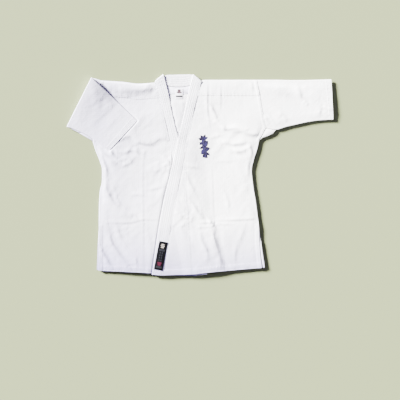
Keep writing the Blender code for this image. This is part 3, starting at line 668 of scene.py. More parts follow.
def threadFinish(name, colour, roughness, sheen):   # spun thread, a soft shine along its twist
    finish, tree, shader = newFinish(name, roughness, sheen, 0.12)
    shader.inputs["Base Color"].default_value = linear(colour)
    where = addNode(tree, "ShaderNodeTexCoord").outputs["Object"]
    fibre = addNode(tree, "ShaderNodeTexNoise", {}, {"Scale": 900.0, "Detail": 3.0}, {"Vector": where})
    bump = addNode(
        tree, "ShaderNodeBump", {}, {"Strength": 0.4, "Distance": 0.00008}, {"Height": fibre.outputs[0]}
    )
    tree.links.new(bump.outputs[0], shader.inputs["Normal"])
    return finish


def wovenLabel(name, colour):   # damask label: fine filament yarn, smooth with a faint crosswise rib
    finish, tree, shader = newFinish(name, 0.7, 0.0, 0.03)
    shader.inputs["Base Color"].default_value = linear(colour)
    where = addNode(tree, "ShaderNodeTexCoord").outputs["Object"]
    rib = addNode(
        tree, "ShaderNodeTexWave", {"bands_direction": "Y"}, {"Scale": 70.0, "Distortion": 0.3},
        {"Vector": where},
    )
    bump = addNode(
        tree, "ShaderNodeBump", {}, {"Strength": 0.3, "Distance": 0.0001}, {"Height": rib.outputs[1]}
    )
    tree.links.new(bump.outputs[0], shader.inputs["Normal"])
    return finish


bodyDrill = cottonDrill("bleached cotton drill", 0)
sleeveDrill = cottonDrill("bleached cotton drill, sleeves", 90)
bandDrill = cottonDrill("bleached cotton drill, collar band", 12)
liningDrill = cottonDrill("bleached cotton drill, lining", 90, "#E6E4EE", "#DEDBE8")
sewingThread = threadFinish("white polyester core thread", "#F2F0F8", 0.7, 0.1)
blackThread = threadFinish("black polyester thread", "#09090B", 0.7, 0.0)
violetSilk = threadFinish("violet rayon embroidery thread", "#1F1A3B", 0.5, 0.15)
darkSilk = threadFinish("dark violet rayon embroidery thread", "#130E22", 0.5, 0.15)
blackDamask = wovenLabel("black polyester damask", "#060608")
creamYarn = wovenLabel("cream label yarn", "#9A9086")
greyYarn = wovenLabel("grey label yarn", "#26262A")
redYarn = wovenLabel("dull red label yarn", "#3D1623")
whiteDamask = wovenLabel("white polyester damask", "#E6E2E6")
roseYarn = wovenLabel("rose label yarn", "#4A3B3F")
paleGreyYarn = wovenLabel("pale grey label yarn", "#1A1B1B")
print("materials ready")


# Stitching: a line of points becomes a row of small rounded stitches

stitching = dict(pitch=0.0034, length=0.0026, width=0.0007, height=0.0005, sides=5)   # sizes in metres
stitchLines = []


def stitchTree():
    tree = bpy.data.node_groups.new("rowsOfStitches", "GeometryNodeTree")
    face = tree.interface
    face.new_socket("Lines", in_out="INPUT", socket_type="NodeSocketGeometry")
    for name in ("Pitch", "Length", "Width", "Height"):
        face.new_socket(name, in_out="INPUT", socket_type="NodeSocketFloat")
    face.new_socket("Sides", in_out="INPUT", socket_type="NodeSocketInt")
    face.new_socket("Thread", in_out="INPUT", socket_type="NodeSocketMaterial")
    face.new_socket("Stitches", in_out="OUTPUT", socket_type="NodeSocketGeometry")
    given = addNode(tree, "NodeGroupInput")
    curve = addNode(tree, "GeometryNodeMeshToCurve", links={"Mesh": given.outputs["Lines"]})
    spaced = addNode(
        tree, "GeometryNodeResampleCurve", {"mode": "LENGTH"},
        links={"Curve": curve.outputs[0], "Length": given.outputs["Pitch"]},
    )
    ball = addNode(
        tree, "GeometryNodeMeshUVSphere", {}, {"Rings": 4, "Radius": 0.5},
        {"Segments": given.outputs["Sides"]},
    )
    size = addNode(
        tree, "ShaderNodeCombineXYZ",
        links={"X": given.outputs["Length"], "Y": given.outputs["Width"], "Z": given.outputs["Height"]},
    )
    stitch = addNode(
        tree, "GeometryNodeTransform", links={"Geometry": ball.outputs[0], "Scale": size.outputs[0]}
    )
    tangent = addNode(tree, "GeometryNodeInputTangent").outputs[0]
    turned = addNode(tree, "FunctionNodeAlignRotationToVector", {"axis": "X"}, links={"Vector": tangent})
    placed = addNode(
        tree, "GeometryNodeInstanceOnPoints",
        links={"Points": spaced.outputs[0], "Instance": stitch.outputs[0], "Rotation": turned.outputs[0]},
    )
    real = addNode(tree, "GeometryNodeRealizeInstances", links={"Geometry": placed.outputs[0]})
    coloured = addNode(
        tree, "GeometryNodeSetMaterial",
        links={"Geometry": real.outputs[0], "Material": given.outputs["Thread"]},
    )
    addNode(tree, "NodeGroupOutput", links={0: coloured.outputs[0]})
    return tree


def sewLines(name, lines, thread):
    points, edges = [], []
    for line in lines:
        start = len(points)
        points += [tuple(p) for p in line]
        edges += [(start + k, start + k + 1) for k in range(len(line) - 1)]
    guide = newPiece(name + "Guide", points, [], None, edges=edges)
    tree = stitchTree()
    modifier = guide.modifiers.new("stitches", "NODES")
    modifier.node_group = tree
    sockets = [s for s in tree.interface.items_tree if s.item_type == "SOCKET" and s.in_out == "INPUT"]
    ids = {s.name: s.identifier for s in sockets}
    for label in ("Pitch", "Length", "Width", "Height", "Sides"):
        modifier[ids[label]] = stitching[label.lower()]
    modifier[ids["Thread"]] = thread
    ready = guide.evaluated_get(bpy.context.evaluated_depsgraph_get())
    mesh = bpy.data.meshes.new_from_object(ready)
    mesh.name = name
    mesh.shade_smooth()
    bpy.data.objects.remove(guide)
    return placeInScene(name, mesh)


# Front panels

fineRows = dict(
    lip=[0, 0.25, 0.8, 1.6, 2.6, 3.8, 5.2, 7, 9.5],     # from a rolled edge
    hem=[26, 24, 22.5, 21, 19.5, 18, 15, 12, 9, 6, 4, 2.5, 1.2, 0.4, 0],
    lipDepth=12.5,
    hemDepth=29.0,
    panelWidth=330.0,
)
leftHalf, rightHalf = rowsOf(
    "side armhole gusset edge ventInset shoulder hem creases seed",
    (1, leftArmhole, leftGussetSeam, leftSide, 12.0, leftShoulder, leftHem, leftFrontCreases, 11),
    (-1, rightArmhole, rightGussetSeam, rightSide, 7.0, rightShoulder, rightHem, rightFrontCreases, 23),
)
front = dict(
    length=765.0,
    sideFade=34.0,        # the loft is full this far in from the side
    shoulderFade=30.0,
    armholeEnd=150.0,     # from here down the side lies lower
    besideCuff=3.0,       # the right front heaps up along the folded sleeve's cuff
    besideLapel=1.9,      # and along the left lapel that lies on it
    yokeFold=3.2,         # a broad fold below the right shoulder
    seamAllowance=0.7,    # extra height where cloth is turned in
)


def clothGrid(edges, ends, full, lips, extraRows=(), spacing=jacket["grid"]):
    (startEdge, endEdge), (topLine, bottomLine), (startLip, endLip) = edges, ends, lips
    lip, tail = fineRows["lipDepth"], fineRows["hemDepth"]
    levels = list(fineRows["lip"]) + steps(lip, full - tail, spacing)
    levels = sorted(set(levels) | set(extraRows)) + [full - r for r in fineRows["hem"]]
    level = np.array(levels)[:, None]
    inner = steps(0, 1, spacing / fineRows["panelWidth"])
    kind = [("start", s) for s in startLip]
    kind += [("between", f) for f in inner[1:-1]]
    kind += [("end", s) for s in endLip[::-1]]
    isStart = np.array([k == "start" for k, _ in kind])
    isEnd = np.array([k == "end" for k, _ in kind])
    value = np.array([v for _, v in kind])
    down = np.repeat(level, len(kind), 1).astype(float)
    for _ in range(5):   # the edges depend on how far down a row runs, so it settles in a few rounds
        first, last = startEdge(down), endEdge(down)
        between = first + startLip[-1] + value * (last - endLip[-1] - first - startLip[-1])
        across = np.where(isStart, first + value, np.where(isEnd, last - value, between))
        top, bottom = topLine(across), bottomLine(across)
        middle = top + lip + (level - lip) / (full - tail - lip) * (bottom - tail - top - lip)
        lower = np.where(level >= full - tail, bottom - (full - level), middle)
        down = np.where(level <= lip, top + level, lower)
    return across, down


def frontEdges(half):
    gussetEnd = half.gusset[-1].down

    def outer(down):   # in this side's own direction, growing towards the arm
        byArm = np.interp(down, col(half.armhole, "down"), col(half.armhole, "across"))
        byGusset = np.interp(down, col(half.gusset, "down"), col(half.gusset, "across"))
        belowArm = np.where(down < gussetEnd, byGusset, acrossAt(half.edge, down))
        edge = np.where(down < half.armhole[-1].down, byArm, belowArm)
        drawnIn = half.ventInset * ease((down - jacket["ventTop"]) / 190) ** 0.7
        return edge - seamGap * (down < gussetEnd) - drawnIn

    def inner(down):
        byBand = half.side * bandSeam(down, half is rightHalf) + seamGap
        return np.maximum(byBand, acrossAt(okumiSeam, down))

    return outer, inner, gussetEnd


def frontFields(half):   # for any place on a front: its lower face, its rolled edge's share, what is sewn in
    outer, inner, gussetEnd = frontEdges(half)
    side = half.side
    ventTop = jacket["ventTop"]

    def lower(x, y):
        toSide = outer(y) - side * x
        toShoulder = y - downAt(half.shoulder, x)
        vent = ease((y - ventTop) / 60)
        armhole = 1 - ease((y - front["armholeEnd"]) / 50)
        raised = np.maximum(ease(toSide / front["sideFade"]), np.maximum(0.5 * vent, armhole))
        loft = jacket["loft"] * raised * ease(toShoulder / front["shoulderFade"])
        calm = ease((toSide - 1) / 20 + 0.7 * vent + 0.3 * armhole)
        calm = calm * ease((toShoulder + 4) / front["shoulderFade"])
        relief = (creaseHeight(half.creases, x, y, 5) + softness(x, y, half.seed)) * calm
        base = clothThick + seamGap
        if half is leftHalf:
            rise = coveredRise(x, y)
            relief = relief + upToBand(y, rise) * np.exp(-np.maximum(x - inner(y), 0) / 25)
            hidden = ease((x - coveredMiddle[0, 0] + 260) / 40)
            return above(base - 0.1 + jacket["drape"] * rise * hidden, base + loft + rise + relief)
        byLapel, bySleeve = underLapel(x, y), underSleeve(x, y)
        free = (1 - byLapel) * (1 - bySleeve)
        beside = acrossAt(lapelEdge, y) - x   # outside the top lapel's free edge
        bank = front["besideLapel"] * ease((beside - 0.5) / 6) * np.exp(-np.maximum(beside - 6.5, 0) / 26)
        bank = bank * ease((y - 150) / 60)
        fromCuff, alongCuff = nearPath(foldedCuff, x, y)
        relief = relief + (front["besideCuff"] - 0.8 * alongCuff**2) * np.exp(-np.abs(fromCuff) / 30)
        yoke = ease(toShoulder / 8) * (1 - ease((toShoulder - 8) / 44)) * ease((-x - 100) / 30)
        over = loft * (1 - byLapel) * (1 - 0.8 * bySleeve) + (relief + front["yokeFold"] * yoke) * free + bank
        return np.maximum(base, above(base - 0.25, base + over))

    def rolled(x, y):
        toSide = np.maximum(outer(y) - side * x, 0)
        toShoulder = np.maximum(y - downAt(half.shoulder, x), 0)
        shut = (1 - ease((y - ventTop + 20) / 20)) * ease((y - gussetEnd + 16) / 12)
        bySide = np.sqrt(1 - (1 - np.clip(toSide / jacket["roll"], 0, 1)) ** 2)
        byShoulder = np.sqrt(1 - (1 - np.clip(toShoulder / jacket["roll"], 0, 1)) ** 2)
        return np.minimum(byShoulder, bySide * shut + 1 - shut)

    def sewn(x, y):   # hems, seam allowances, and what their stitching draws in
        toSide = outer(y) - side * x
        toInner = side * x - inner(y)
        toShoulder = y - downAt(half.shoulder, x)
        toLining = toShoulder - jacket["liningDepth"]
        hem = downAt(half.hem, x) - y
        hemEdge, hemTop = sewing["hem"]
        z = jacket["liningExtra"] * (1 - ease((toLining + 1) / 2.5)) * ease(toShoulder / 12)
        z = z + stitchGroove(toShoulder, jacket["liningDepth"] - sewing["lining"], 0.25)
        z = z + pucker(np.abs(toLining + 2), x, 8, 0.22, 1)
        z = z + 0.8 * jacket["hemExtra"] * (1 - ease((hem - jacket["hem"] + 3) / 6))
        z = z + stitchGroove(hem, hemTop, 0.3) + stitchGroove(hem, hemEdge, 0.3)
        z = z + pucker(np.abs(hem - hemTop), x, 9, 0.3, 2)
        z = z + stitchGroove(toInner, sewing["besideBand"], 0.35, 1.6) + pucker(toInner, y, 9, 0.25, 3)
        armhole = 1 - ease((y - gussetEnd) / 6)
        z = z + front["seamAllowance"] * (1 - ease((toSide - 10) / 2)) * armhole
        for at, depth in zip(sewing["armhole"], (0.35, 0.4)):
            z = z + armhole * stitchGroove(toSide, at, depth)
        z = z + armhole * pucker(toSide, y, 10, 0.25, 4)
        vent = ease((y - ventTop) / 14)
        turnedIn = front["seamAllowance"] * (1 - ease((toSide - 15) / 2))
        return z + vent * (turnedIn + stitchGroove(toSide, sewing["vent"], 0.35))

    return lower, rolled, sewn


def makeFront(name, half):
    outer, inner, gussetEnd = frontEdges(half)
    side = half.side
    depth = jacket["liningDepth"]
    across, down = clothGrid(
        (inner, outer), (lambda a: downAt(half.shoulder, side * a), lambda a: downAt(half.hem, side * a)),
        front["length"], ([0, 0.3, 1.5, 3, 5, 7.5, 10.5], fineRows["lip"] + [11.5, 14, 16.5]),
        [depth - 5.5, depth - 4, depth - 2.5, depth - 0.5, depth + 1],
    )
    across = side * across
    lower, rolled, sewn = frontFields(half)
    low = lower(across, down)
    share = rolled(across, down)
    top = (low + clothThick + sewn(across, down)) * share
    top = np.maximum(top, 0.35)
    bottom = np.where(share > 0.999, low, np.clip(top - clothThick * 1.1, 0.0, low))
    for edge in (np.s_[:, 0], np.s_[-1, :]):   # cut edges are a little rounded
        top[edge] -= 0.2
    top[-2, :] -= 0.15
    openSide = (down[:, -1] < gussetEnd - 10) | (down[:, -1] > jacket["ventTop"])
    top[:, -1] -= 0.45 * openSide
    top[:, -2] -= 0.12 * openSide
    return sheetOf(name, across, down, top, bottom, bodyDrill)


def frontTop(half):   # the finished upper face, for what is sewn on it
    lower, rolled, sewn = frontFields(half)

    def height(x, y):
        x, y = np.asarray(x, float), np.asarray(y, float)
        return (lower(x, y) + clothThick + sewn(x, y)) * rolled(x, y)

    return height


okumi = dict(start=284.0, end=778.0, columns=34, coveredColumns=12)


def okumiFields(half):
    def lower(x, y):
        base = np.full(np.shape(x), clothThick + seamGap)
        if half is rightHalf:
            return base
        rise = coveredRise(x, y)
        relief = creaseHeight(half.creases, x, y, 5) + softness(x, y, half.seed)
        relief = relief + upToBand(y, rise) * np.exp(-np.maximum(x - bandSeam(y, False), 0) / 25)
        return above(base - 0.1 + jacket["drape"] * rise, base + jacket["loft"] + rise + relief)

    def top(x, y):
        toBand = half.side * x - half.side * bandSeam(y, half is rightHalf)
        toFront = acrossAt(okumiSeam, y) - half.side * x
        hem = downAt(half.hem, x) - y
        z = lower(x, y) + clothThick
        for at, depth in zip(sewing["okumi"], (0.2, 0.25)):
            z = z + stitchGroove(toFront, at, depth)
        z = z + stitchGroove(toBand, sewing["besideBand"], 0.35, 1.6)
        z = z + pucker(toBand, y, 9, 0.22, 5) + pucker(toFront, y, 9, 0.2, 6)
        turnedUp = jacket["hemExtra"] * (half is leftHalf) * (1 - ease((hem - jacket["hem"] + 1) / 2))
        return z + turnedUp + stitchGroove(hem, sewing["hem"][1], 0.4)

    return lower, top


def makeOkumi(name, half):   # the right one is covered, so it has fewer columns
    start, full = okumi["start"], okumi["end"]
    rows = steps(start, full - fineRows["hemDepth"], jacket["grid"])
    levels = np.array(rows + [full - r for r in fineRows["hem"]])[:, None]
    part = np.linspace(0, 1, okumi["columns"] if half is leftHalf else okumi["coveredColumns"])
    part = np.concatenate([[0, 0.004], part[1:-1], [0.996, 1]])
    down = np.repeat(levels, len(part), 1)
    for _ in range(5):
        first = half.side * bandSeam(down, half is rightHalf) + seamGap
        last = acrossAt(okumiSeam, down) - seamGap
        across = half.side * (first + part * (last - first))
        bottom = downAt(half.hem, across)
        down = start + (levels - start) / (full - start) * (bottom - start)
    lower, top = okumiFields(half)
    low, high = lower(across, down), top(across, down)
    for edge in (np.s_[:, 0], np.s_[:, -1], np.s_[0, :], np.s_[-1, :]):
        high[edge] -= 0.15
    return sheetOf(name, across, down, high, low, bodyDrill)


frontRight = makeFront("frontRight", rightHalf)
frontLeft = makeFront("frontLeft", leftHalf)
okumiRight = makeOkumi("okumiRight", rightHalf)
okumiLeft = makeOkumi("okumiLeft", leftHalf)
print("fronts cut")


# Collar band

bandSewing = dict(
    rows=(3.0, 11.0, 19.0, 27.0, 35.0),   # stitch rows, from the seam edge
    edgeRow=2.0,                          # and one from the free edge
    depth=0.28,
    width=1.2,
)
upright = np.array([0.0, 0.0, 1.0])
backNeck = rowsOf(
    "part freeAcross freeDown seamAcross seamDown",
    (0.0, 61, -23, 94.4, 4.1), (0.2, 44, -22, 62, 18), (0.4, 18, -21, 22, 27), (0.5, 0, -21, 0, 28),
    (0.6, -18, -20, -22, 27), (0.8, -44, -20, -62, 18), (1.0, -61, -20, -94.4, 7.1),
)
bandAcross = np.concatenate([[0.0, 0.006, 0.02, 0.04], np.linspace(0.06, 0.94, 40), [0.96, 0.98, 0.994, 1.0]])


def foldOutward(covered):   # the way that the fold beside the neck bulges
    lean = math.radians(lapel["lean"] + lapel["topLean"])
    return np.array([(-1 if covered else 1) * math.sin(lean), -math.cos(lean)])


def bandStations():   # free edge, seam edge, their heights and the band's normal, from hem to hem
    def straight(covered, heights):
        down = np.array(steps(lapel["top"], 52, 2.5) + steps(54.5, 755, 3.0) + steps(757, lapel["end"], 1.5))
        radius = (heights[0].free - bandThick / 2) / 2
        free, seam = lapelRows(down, covered)
        pull = (1 - ease((down - lapel["top"]) / 40))[:, None] * -foldOutward(covered)
        pull = pull * (radius + bandThick / 2)
        return [
            (f, s, float(a), float(b), upright)
            for f, s, a, b in zip(
                free + pull, seam + pull,
                smoothAt(heights, "down", "free", down), smoothAt(heights, "down", "seam", down),
            )
        ]

    def turn(covered, heights):
        radius = (heights[0].free - bandThick / 2) / 2
        free, seam = lapelRows(np.array([lapel["top"]]), covered)
        outward = foldOutward(covered)
        made = []
        for angle in np.linspace(0, math.pi, 13)[1:-1]:
            shift = outward * (radius * math.sin(angle) - radius - bandThick / 2)
            height = heights[0].free - radius + radius * math.cos(angle)
            normal = np.array([*(outward * math.sin(angle)), math.cos(angle)])
            made.append((free[0] + shift, seam[0] + shift, height, height, normal))
        return made

    def neck():
        radius = (topLapelHeight[0].free - bandThick / 2) / 2
        made = []
        for part in np.linspace(0, 1, 46):
            free = np.array([float(smoothAt(backNeck, "part", k, part)) for k in ("freeAcross", "freeDown")])
            seam = np.array([float(smoothAt(backNeck, "part", k, part)) for k in ("seamAcross", "seamDown")])
            near = max(1 - part / 0.2, 1 - (1 - part) / 0.2, 0.0)
            inward = -foldOutward(part > 0.5) * (radius + bandThick / 2) * near
            made.append((free + inward, seam + inward, bandThick / 2, bandThick / 2, -upright))
        return made

    topHalf = straight(False, topLapelHeight)[::-1] + turn(False, topLapelHeight)
    return topHalf + neck() + turn(True, coveredLapelHeight)[::-1] + straight(True, coveredLapelHeight)


def bandPoint(station, part, face, lift=0.0):   # a point on the band's face, 1 outer or -1 inner
    free, seam, freeHeight, seamHeight, normal = station
    width = float(np.linalg.norm(seam - free))
    edge = min(part, 1 - part) * width
    soft = 1.5 if face < 0 else 1.9
    half = (bandThick / 2 - 0.2 * (face < 0)) * math.sqrt(max(1 - (1 - min(edge / soft, 1)) ** 2, 0.0))
    if face > 0:
        half -= 0.4 * ease(edge / 4) + 0.5 * (1 - ease((1 - part) * width / 14))
    x, y = free + part * (seam - free)
    z = freeHeight + part * (seamHeight - freeHeight)
    fromSeam = (1 - part) * width
    dip = sum(math.exp(-(((fromSeam - at) / bandSewing["width"]) ** 2)) for at in bandSewing["rows"])
    dip += math.exp(-(((part * width - bandSewing["edgeRow"]) / bandSewing["width"]) ** 2))
    half -= bandSewing["depth"] * dip * (edge > 1.2)
    return np.array([x, y, z]) + normal * face * (half + lift)


def makeCollar():
    stations = bandStations()
    length = 0.0
    rings = []
    for k, station in enumerate(stations):
        if k:
            length += float(np.linalg.norm(station[0] - stations[k - 1][0]))
        ring = []
        for face, parts in ((1, bandAcross), (-1, bandAcross[-2:0:-1])):
            for part in parts:
                point = bandPoint(station, part, face)
                wobble = 0.13 * math.sin(length / 1.9 + 3 * part + 2 * math.sin(length / 23))
                wobble *= math.sin(math.pi * part)
                wave = 0.35 * math.sin(length / 27 + 1.5 * math.sin(length / 61))
                wave *= part * (station[4][2] > 0.9)
                ring.append(point + station[4] * (wobble * face + wave))
        rings.append(ring)
    rows = [1 - at / 44.0 for at in bandSewing["rows"]] + [0.05]   # of a band 44 mm wide
    for face, some in ((1, stations), (-1, stations[285:350])):   # behind the neck the inner face shows too
        for part in rows:
            stitchLines.append([bandPoint(s, part, face, 0.1) for s in some])
    return tubeOf("collarBand", np.array(rings), bandDrill)


collarBand = makeCollar()
print("collar band sewn")


# Sleeves

sleeve = dict(
    edge=[0, 0.3, 0.9, 1.8, 3.0, 4.4, 6.0, 8.5, 11.5],   # rows of points beside a folded edge
    edgeWidth=13.5,
    armSeam=314.0,        # the left sleeve, along its top edge
    cuff=611.0,
    foldedLength=250.0,   # the right sleeve, from its fold to its cuff
    corner=15.0,          # how far the right sleeve's top corner stands up
    overChest=4.7,        # height of its middle where it lies over the chest
    foldRise=2.6,         # and how much more beside its fold
)
halfSleeve = clothThick + jacket["slit"] / 2
cornerNames = ("topAcross", "topDown", "underAcross", "underDown")
leftSleeveRows = rowsOf(
    "topAcross topDown underAcross underDown",
    (314, 0, 350, 192), (345, 0, 390, 199), (385, 0, 430, 188), (440, 1, 478, 177), (492, 1, 526, 167),
    (545, 0, 574, 161), (611, -2, 619, 159),
)


def sleeveRing(row, face, creaseRows, seed, fromCuff, middleCount):   # one section: its outer and inner ring
    top, under, topHeight, underHeight, normal, relief = row
    width = float(np.linalg.norm(under - top))
    middle = np.linspace(sleeve["edgeWidth"], width - sleeve["edgeWidth"], middleCount)
    upper = np.concatenate([sleeve["edge"], middle, width - np.array(sleeve["edge"][::-1])])
    short = np.array(sleeve["edge"][1::2])
    lower = np.concatenate([short, middle[::3], width - short[::-1]])
    hemmed = float(1 - ease((fromCuff - jacket["hem"] + 1) / 2))
    grooves = sum(float(stitchGroove(fromCuff, at, 0.4)) for at in sewing["cuff"]) * (fromCuff < 30)
    outerRing, innerRing = [], []
    for layer, d in ((face, upper), (-face, lower[::-1])):
        part = d / width
        xy = top + part[:, None] * (under - top)
        z = topHeight + part * (underHeight - topHeight)
        edge = np.minimum(d, width - d)
        half = halfSleeve * np.sqrt(np.maximum(1 - (1 - np.clip(edge / 2.4, 0, 1)) ** 2, 0))
        if layer == face:
            half = half + (0.45 * hemmed + grooves) * ease(edge / 6)
            lift = jacket["loft"] + creaseHeight(creaseRows, xy[:, 0], xy[:, 1], 7)
            lift = lift + 0.7 * softness(xy[:, 0], xy[:, 1], seed)
            cuff = pucker(np.full(len(d), abs(fromCuff - sewing["cuff"][-1])), d, 9, 0.3, seed)
            half = half + (above(0.1, lift) * relief + cuff * relief) * ease(edge / 34)
        centre = np.concatenate([xy, z[:, None]], 1)
        thin = np.minimum(clothThick, half * 0.85)
        inside = centre + normal * layer * (half - thin)[:, None]
        pull = 1.2 * (1 - ease(edge / 3.0)) * np.where(part < 0.5, 1, -1)
        inside[:, :2] += (under - top) / width * pull[:, None]
        outerRing.append(centre + normal * layer * half[:, None])
        innerRing.append(inside)
    return np.concatenate(outerRing), np.concatenate(innerRing)


def makeSleeve(name, rows, face, creaseRows, seed, cuffs):
    widest = max(float(np.linalg.norm(row[1] - row[0])) for row in rows)
    middleCount = len(steps(sleeve["edgeWidth"], widest - sleeve["edgeWidth"], jacket["grid"]))
    rings = [sleeveRing(row, face, creaseRows, seed, cuff, middleCount) for row, cuff in zip(rows, cuffs)]
    outer, inner = zip(*rings)
    return tubeOf(name, np.array(outer), sleeveDrill, np.array(inner))


def cornersAt(rows, key, at):   # a section's upper and lower corner, on smooth curves through the rows
    values = [float(smoothAt(rows, key, name, at)) for name in cornerNames if name != key]
    return ([at] + values) if key == "topAcross" else values


def leftSleeveRow(x):
    corners = cornersAt(leftSleeveRows, "topAcross", x)
    return (np.array(corners[:2]), np.array(corners[2:]), halfSleeve, halfSleeve, upright, 1.0)


def overHeight(along, part):
    corner = sleeve["corner"] * (1 - ease(along / 0.62)) * (1 - part) ** 1.8
    return float(sleeve["overChest"] + sleeve["foldRise"] * (1 - ease(along / 0.5)) * (1 - part) + corner)


def overRow(along):   # a section of the folded sleeve's part that lies over the chest
    corners = cornersAt(foldedSleeve, "along", along)
    share = float(ease(along / 0.25))
    heights = (overHeight(along, 0), overHeight(along, 1))
    return (np.array(corners[:2]), np.array(corners[2:]), *heights, -upright, share)


def sleeveSteps(start, end, length):   # even steps with finer ones at the cuff
    rows = steps(start, end - fineRows["hemDepth"] / length, jacket["grid"] / length)
    return rows + [end - r / length for r in fineRows["hem"]]


leftAlong = sleeveSteps(sleeve["armSeam"], sleeve["cuff"], 1)
leftSleeve = makeSleeve(
    "sleeveLeft", [leftSleeveRow(x) for x in leftAlong], 1, leftSleeveCreases, 41,
    [sleeve["cuff"] - x for x in leftAlong],
)
sleeveUnderRows = rowsOf(
    "topAcross topDown underAcross underDown",
    (-309, 2, -348, 200), (-327, -4, -396, 212), (-340, -7, -432, 194),
)


def foldedSleeveRows():   # out from the armhole, round the fold, then back over the chest
    rows, cuffs = [], []
    farFromCuff = 300.0
    for t in np.linspace(0, 2, 21):
        at = [float(np.interp(t, [0, 1, 2], col(sleeveUnderRows, name))) for name in cornerNames]
        rows.append((np.array(at[:2]), np.array(at[2:]), halfSleeve, halfSleeve, upright, 0.0))
        cuffs.append(farFromCuff)
    first = foldedSleeve[0]
    top, under = np.array([first.topAcross, first.topDown]), np.array([first.underAcross, first.underDown])
    line = (under - top) / np.linalg.norm(under - top)
    outward = np.array([-line[1], line[0]])
    outward = outward if outward[0] < 0 else -outward
    radii = [(overHeight(0, part) - halfSleeve) / 2 for part in (0, 1)]
    for angle in np.linspace(0, math.pi, 25):
        lean = 1.6 * (1 + math.cos(angle)) / 2   # the upper layer stands over the lower one
        shifts = [outward * (min(r, 1.6) * (math.sin(angle) - 1) - halfSleeve - lean) for r in radii]
        heights = [halfSleeve + r * (1 - math.cos(angle)) for r in radii]
        normal = np.array([*(outward * math.sin(angle)), math.cos(angle)])
        rows.append((top + shifts[0], under + shifts[1], heights[0], heights[1], normal, 0.0))
        cuffs.append(farFromCuff)
    for along in sleeveSteps(0.08, 1, sleeve["foldedLength"]):
        rows.append(overRow(along))
        cuffs.append((1 - along) * sleeve["foldedLength"])
    return rows, cuffs


rightRows, rightCuffs = foldedSleeveRows()
rightSleeve = makeSleeve("sleeveRight", rightRows, -1, rightSleeveCreases, 57, rightCuffs)
for at in sewing["cuff"]:   # on the face that shows
    for row, face, rows, seed in (
        (leftSleeveRow(sleeve["cuff"] - at), 1, leftSleeveCreases, 41),
        (overRow(1 - at / sleeve["foldedLength"]), -1, rightSleeveCreases, 57),
    ):
        ring, _ = sleeveRing(row, face, rows, seed, at, 60)
        stitchLines.append([p + sewing["proud"] * upright for p in ring[3:75]])
print("sleeves sewn")


# Back, gussets and lining

back = dict(length=748.0, grid=5.0)   # mostly hidden, so coarser than the fronts
backArmLeft = rowsOf("down across", (0, 312), (192, 349.7), (214, 335.2), (240, 321))
backArmRight = rowsOf("down across", (0, 306), (200, 347.7), (220, 342.9), (248, 339.2))
backNeckLine = rowsOf(
    "across down",
    (-94, 13), (-82, 13.4), (-62, 19), (-22, 27.8), (0, 28.8), (22, 27.8), (62, 19), (82, 12.6), (97, 5),
)


def makeBack():
    inset = clothThick + 3 * seamGap

    def sideEdge(arm, edge, down):
        closed = inset * (1 - ease((down - jacket["ventTop"] - 25) / 12))
        byArm = np.interp(down, col(arm, "down"), col(arm, "across"))
        return np.where(down < arm[-1].down, byArm, acrossAt(edge, down) - closed)

    def leftEdge(down):
        return sideEdge(backArmLeft, leftSide, down)

    def rightEdge(down):
        return -sideEdge(backArmRight, rightSide, down)

    def topLine(across):
        shoulder = np.where(across > 0, downAt(leftShoulder, across), downAt(rightShoulder, across)) + inset
        cut = downAt(backNeckLine, across)
        return np.where(np.abs(across) < 94, np.maximum(cut, shoulder), shoulder)

    lips = [0, 1, 3, 5, 7, 9, 11, 14]
    across, down = clothGrid(
        (rightEdge, leftEdge), (topLine, lambda a: downAt(backHem, a)), back["length"], (lips, lips),
        spacing=back["grid"],
    )
    frontEdge = np.where(across > 0, frontEdges(leftHalf)[0](down), frontEdges(rightHalf)[0](down))
    beyond = np.abs(across) - frontEdge
    ventLift = np.where(across > 0, 2.0, 0.7) * ease(beyond / 6) * ease((down - jacket["ventTop"] - 40) / 60)
    neckFree = acrossAt(lapelEdge, down)
    neckLift = 1.3 * ease((down - 57) / 5) + 1.2 * ease((down - 78) / 16)
    neckLift = neckLift * ease((neckFree - np.abs(across) - 0.5) / 5.5) * (1 - ease((down - 196) / 26))
    edge = np.minimum(np.minimum(across - rightEdge(down), leftEdge(down) - across), 40)
    under = 0.4 + 0.28 * creaseHeight(backCreases, across, down, 9) + 0.1 * ripple(across, down, 90, 71)
    bottom = np.clip(under - 0.35, 0, 0.5) * ease(edge / 20)
    hem = downAt(backHem, across) - down
    bottom = np.clip(bottom + 0.18 * np.exp(-(((hem - 19) / 1.5) ** 2)), 0, 0.5)
    inNeck = np.clip(0.5 * creaseHeight(backCreases[:1], across, down, 9), -0.3, 0.2)
    top = clothThick + np.where(np.abs(across) < 100, inNeck, 0.0) + ventLift + neckLift
    bottom = bottom + 0.95 * (ventLift + neckLift)
    for ring in (np.s_[:, 0], np.s_[:, -1], np.s_[0, :], np.s_[-1, :]):
        bottom[ring] = np.minimum(bottom[ring], top[ring] - 0.9)
        top[ring] -= 0.25
    return sheetOf("backPanel", across, down, top, bottom, bodyDrill)


backPanel = makeBack()
gussetThick = 2 * clothThick + seamGap
gussetLeft = plateOf(
    "gussetLeft",
    (
        (351.5, 193.6), (370, 197.4), (389, 200.8), (383, 208), (377, 214.5), (360, 223), (335, 231.5),
        (325.6, 239.5),
    ),
    0.0, gussetThick, sleeveDrill, 1.1,
)
gussetRight = plateOf(
    "gussetRight", ((-349.2, 200.8), (-396, 212.6), (-372, 227), (-343.6, 244)),
    0.0, gussetThick, sleeveDrill, 1.1,
)


lining = dict(half=50.0, bottom=56.0, thick=0.8)
liningNeck = rowsOf("across down", (-50, 23.2), (-22, 29), (0, 30), (22, 29), (50, 23.2))


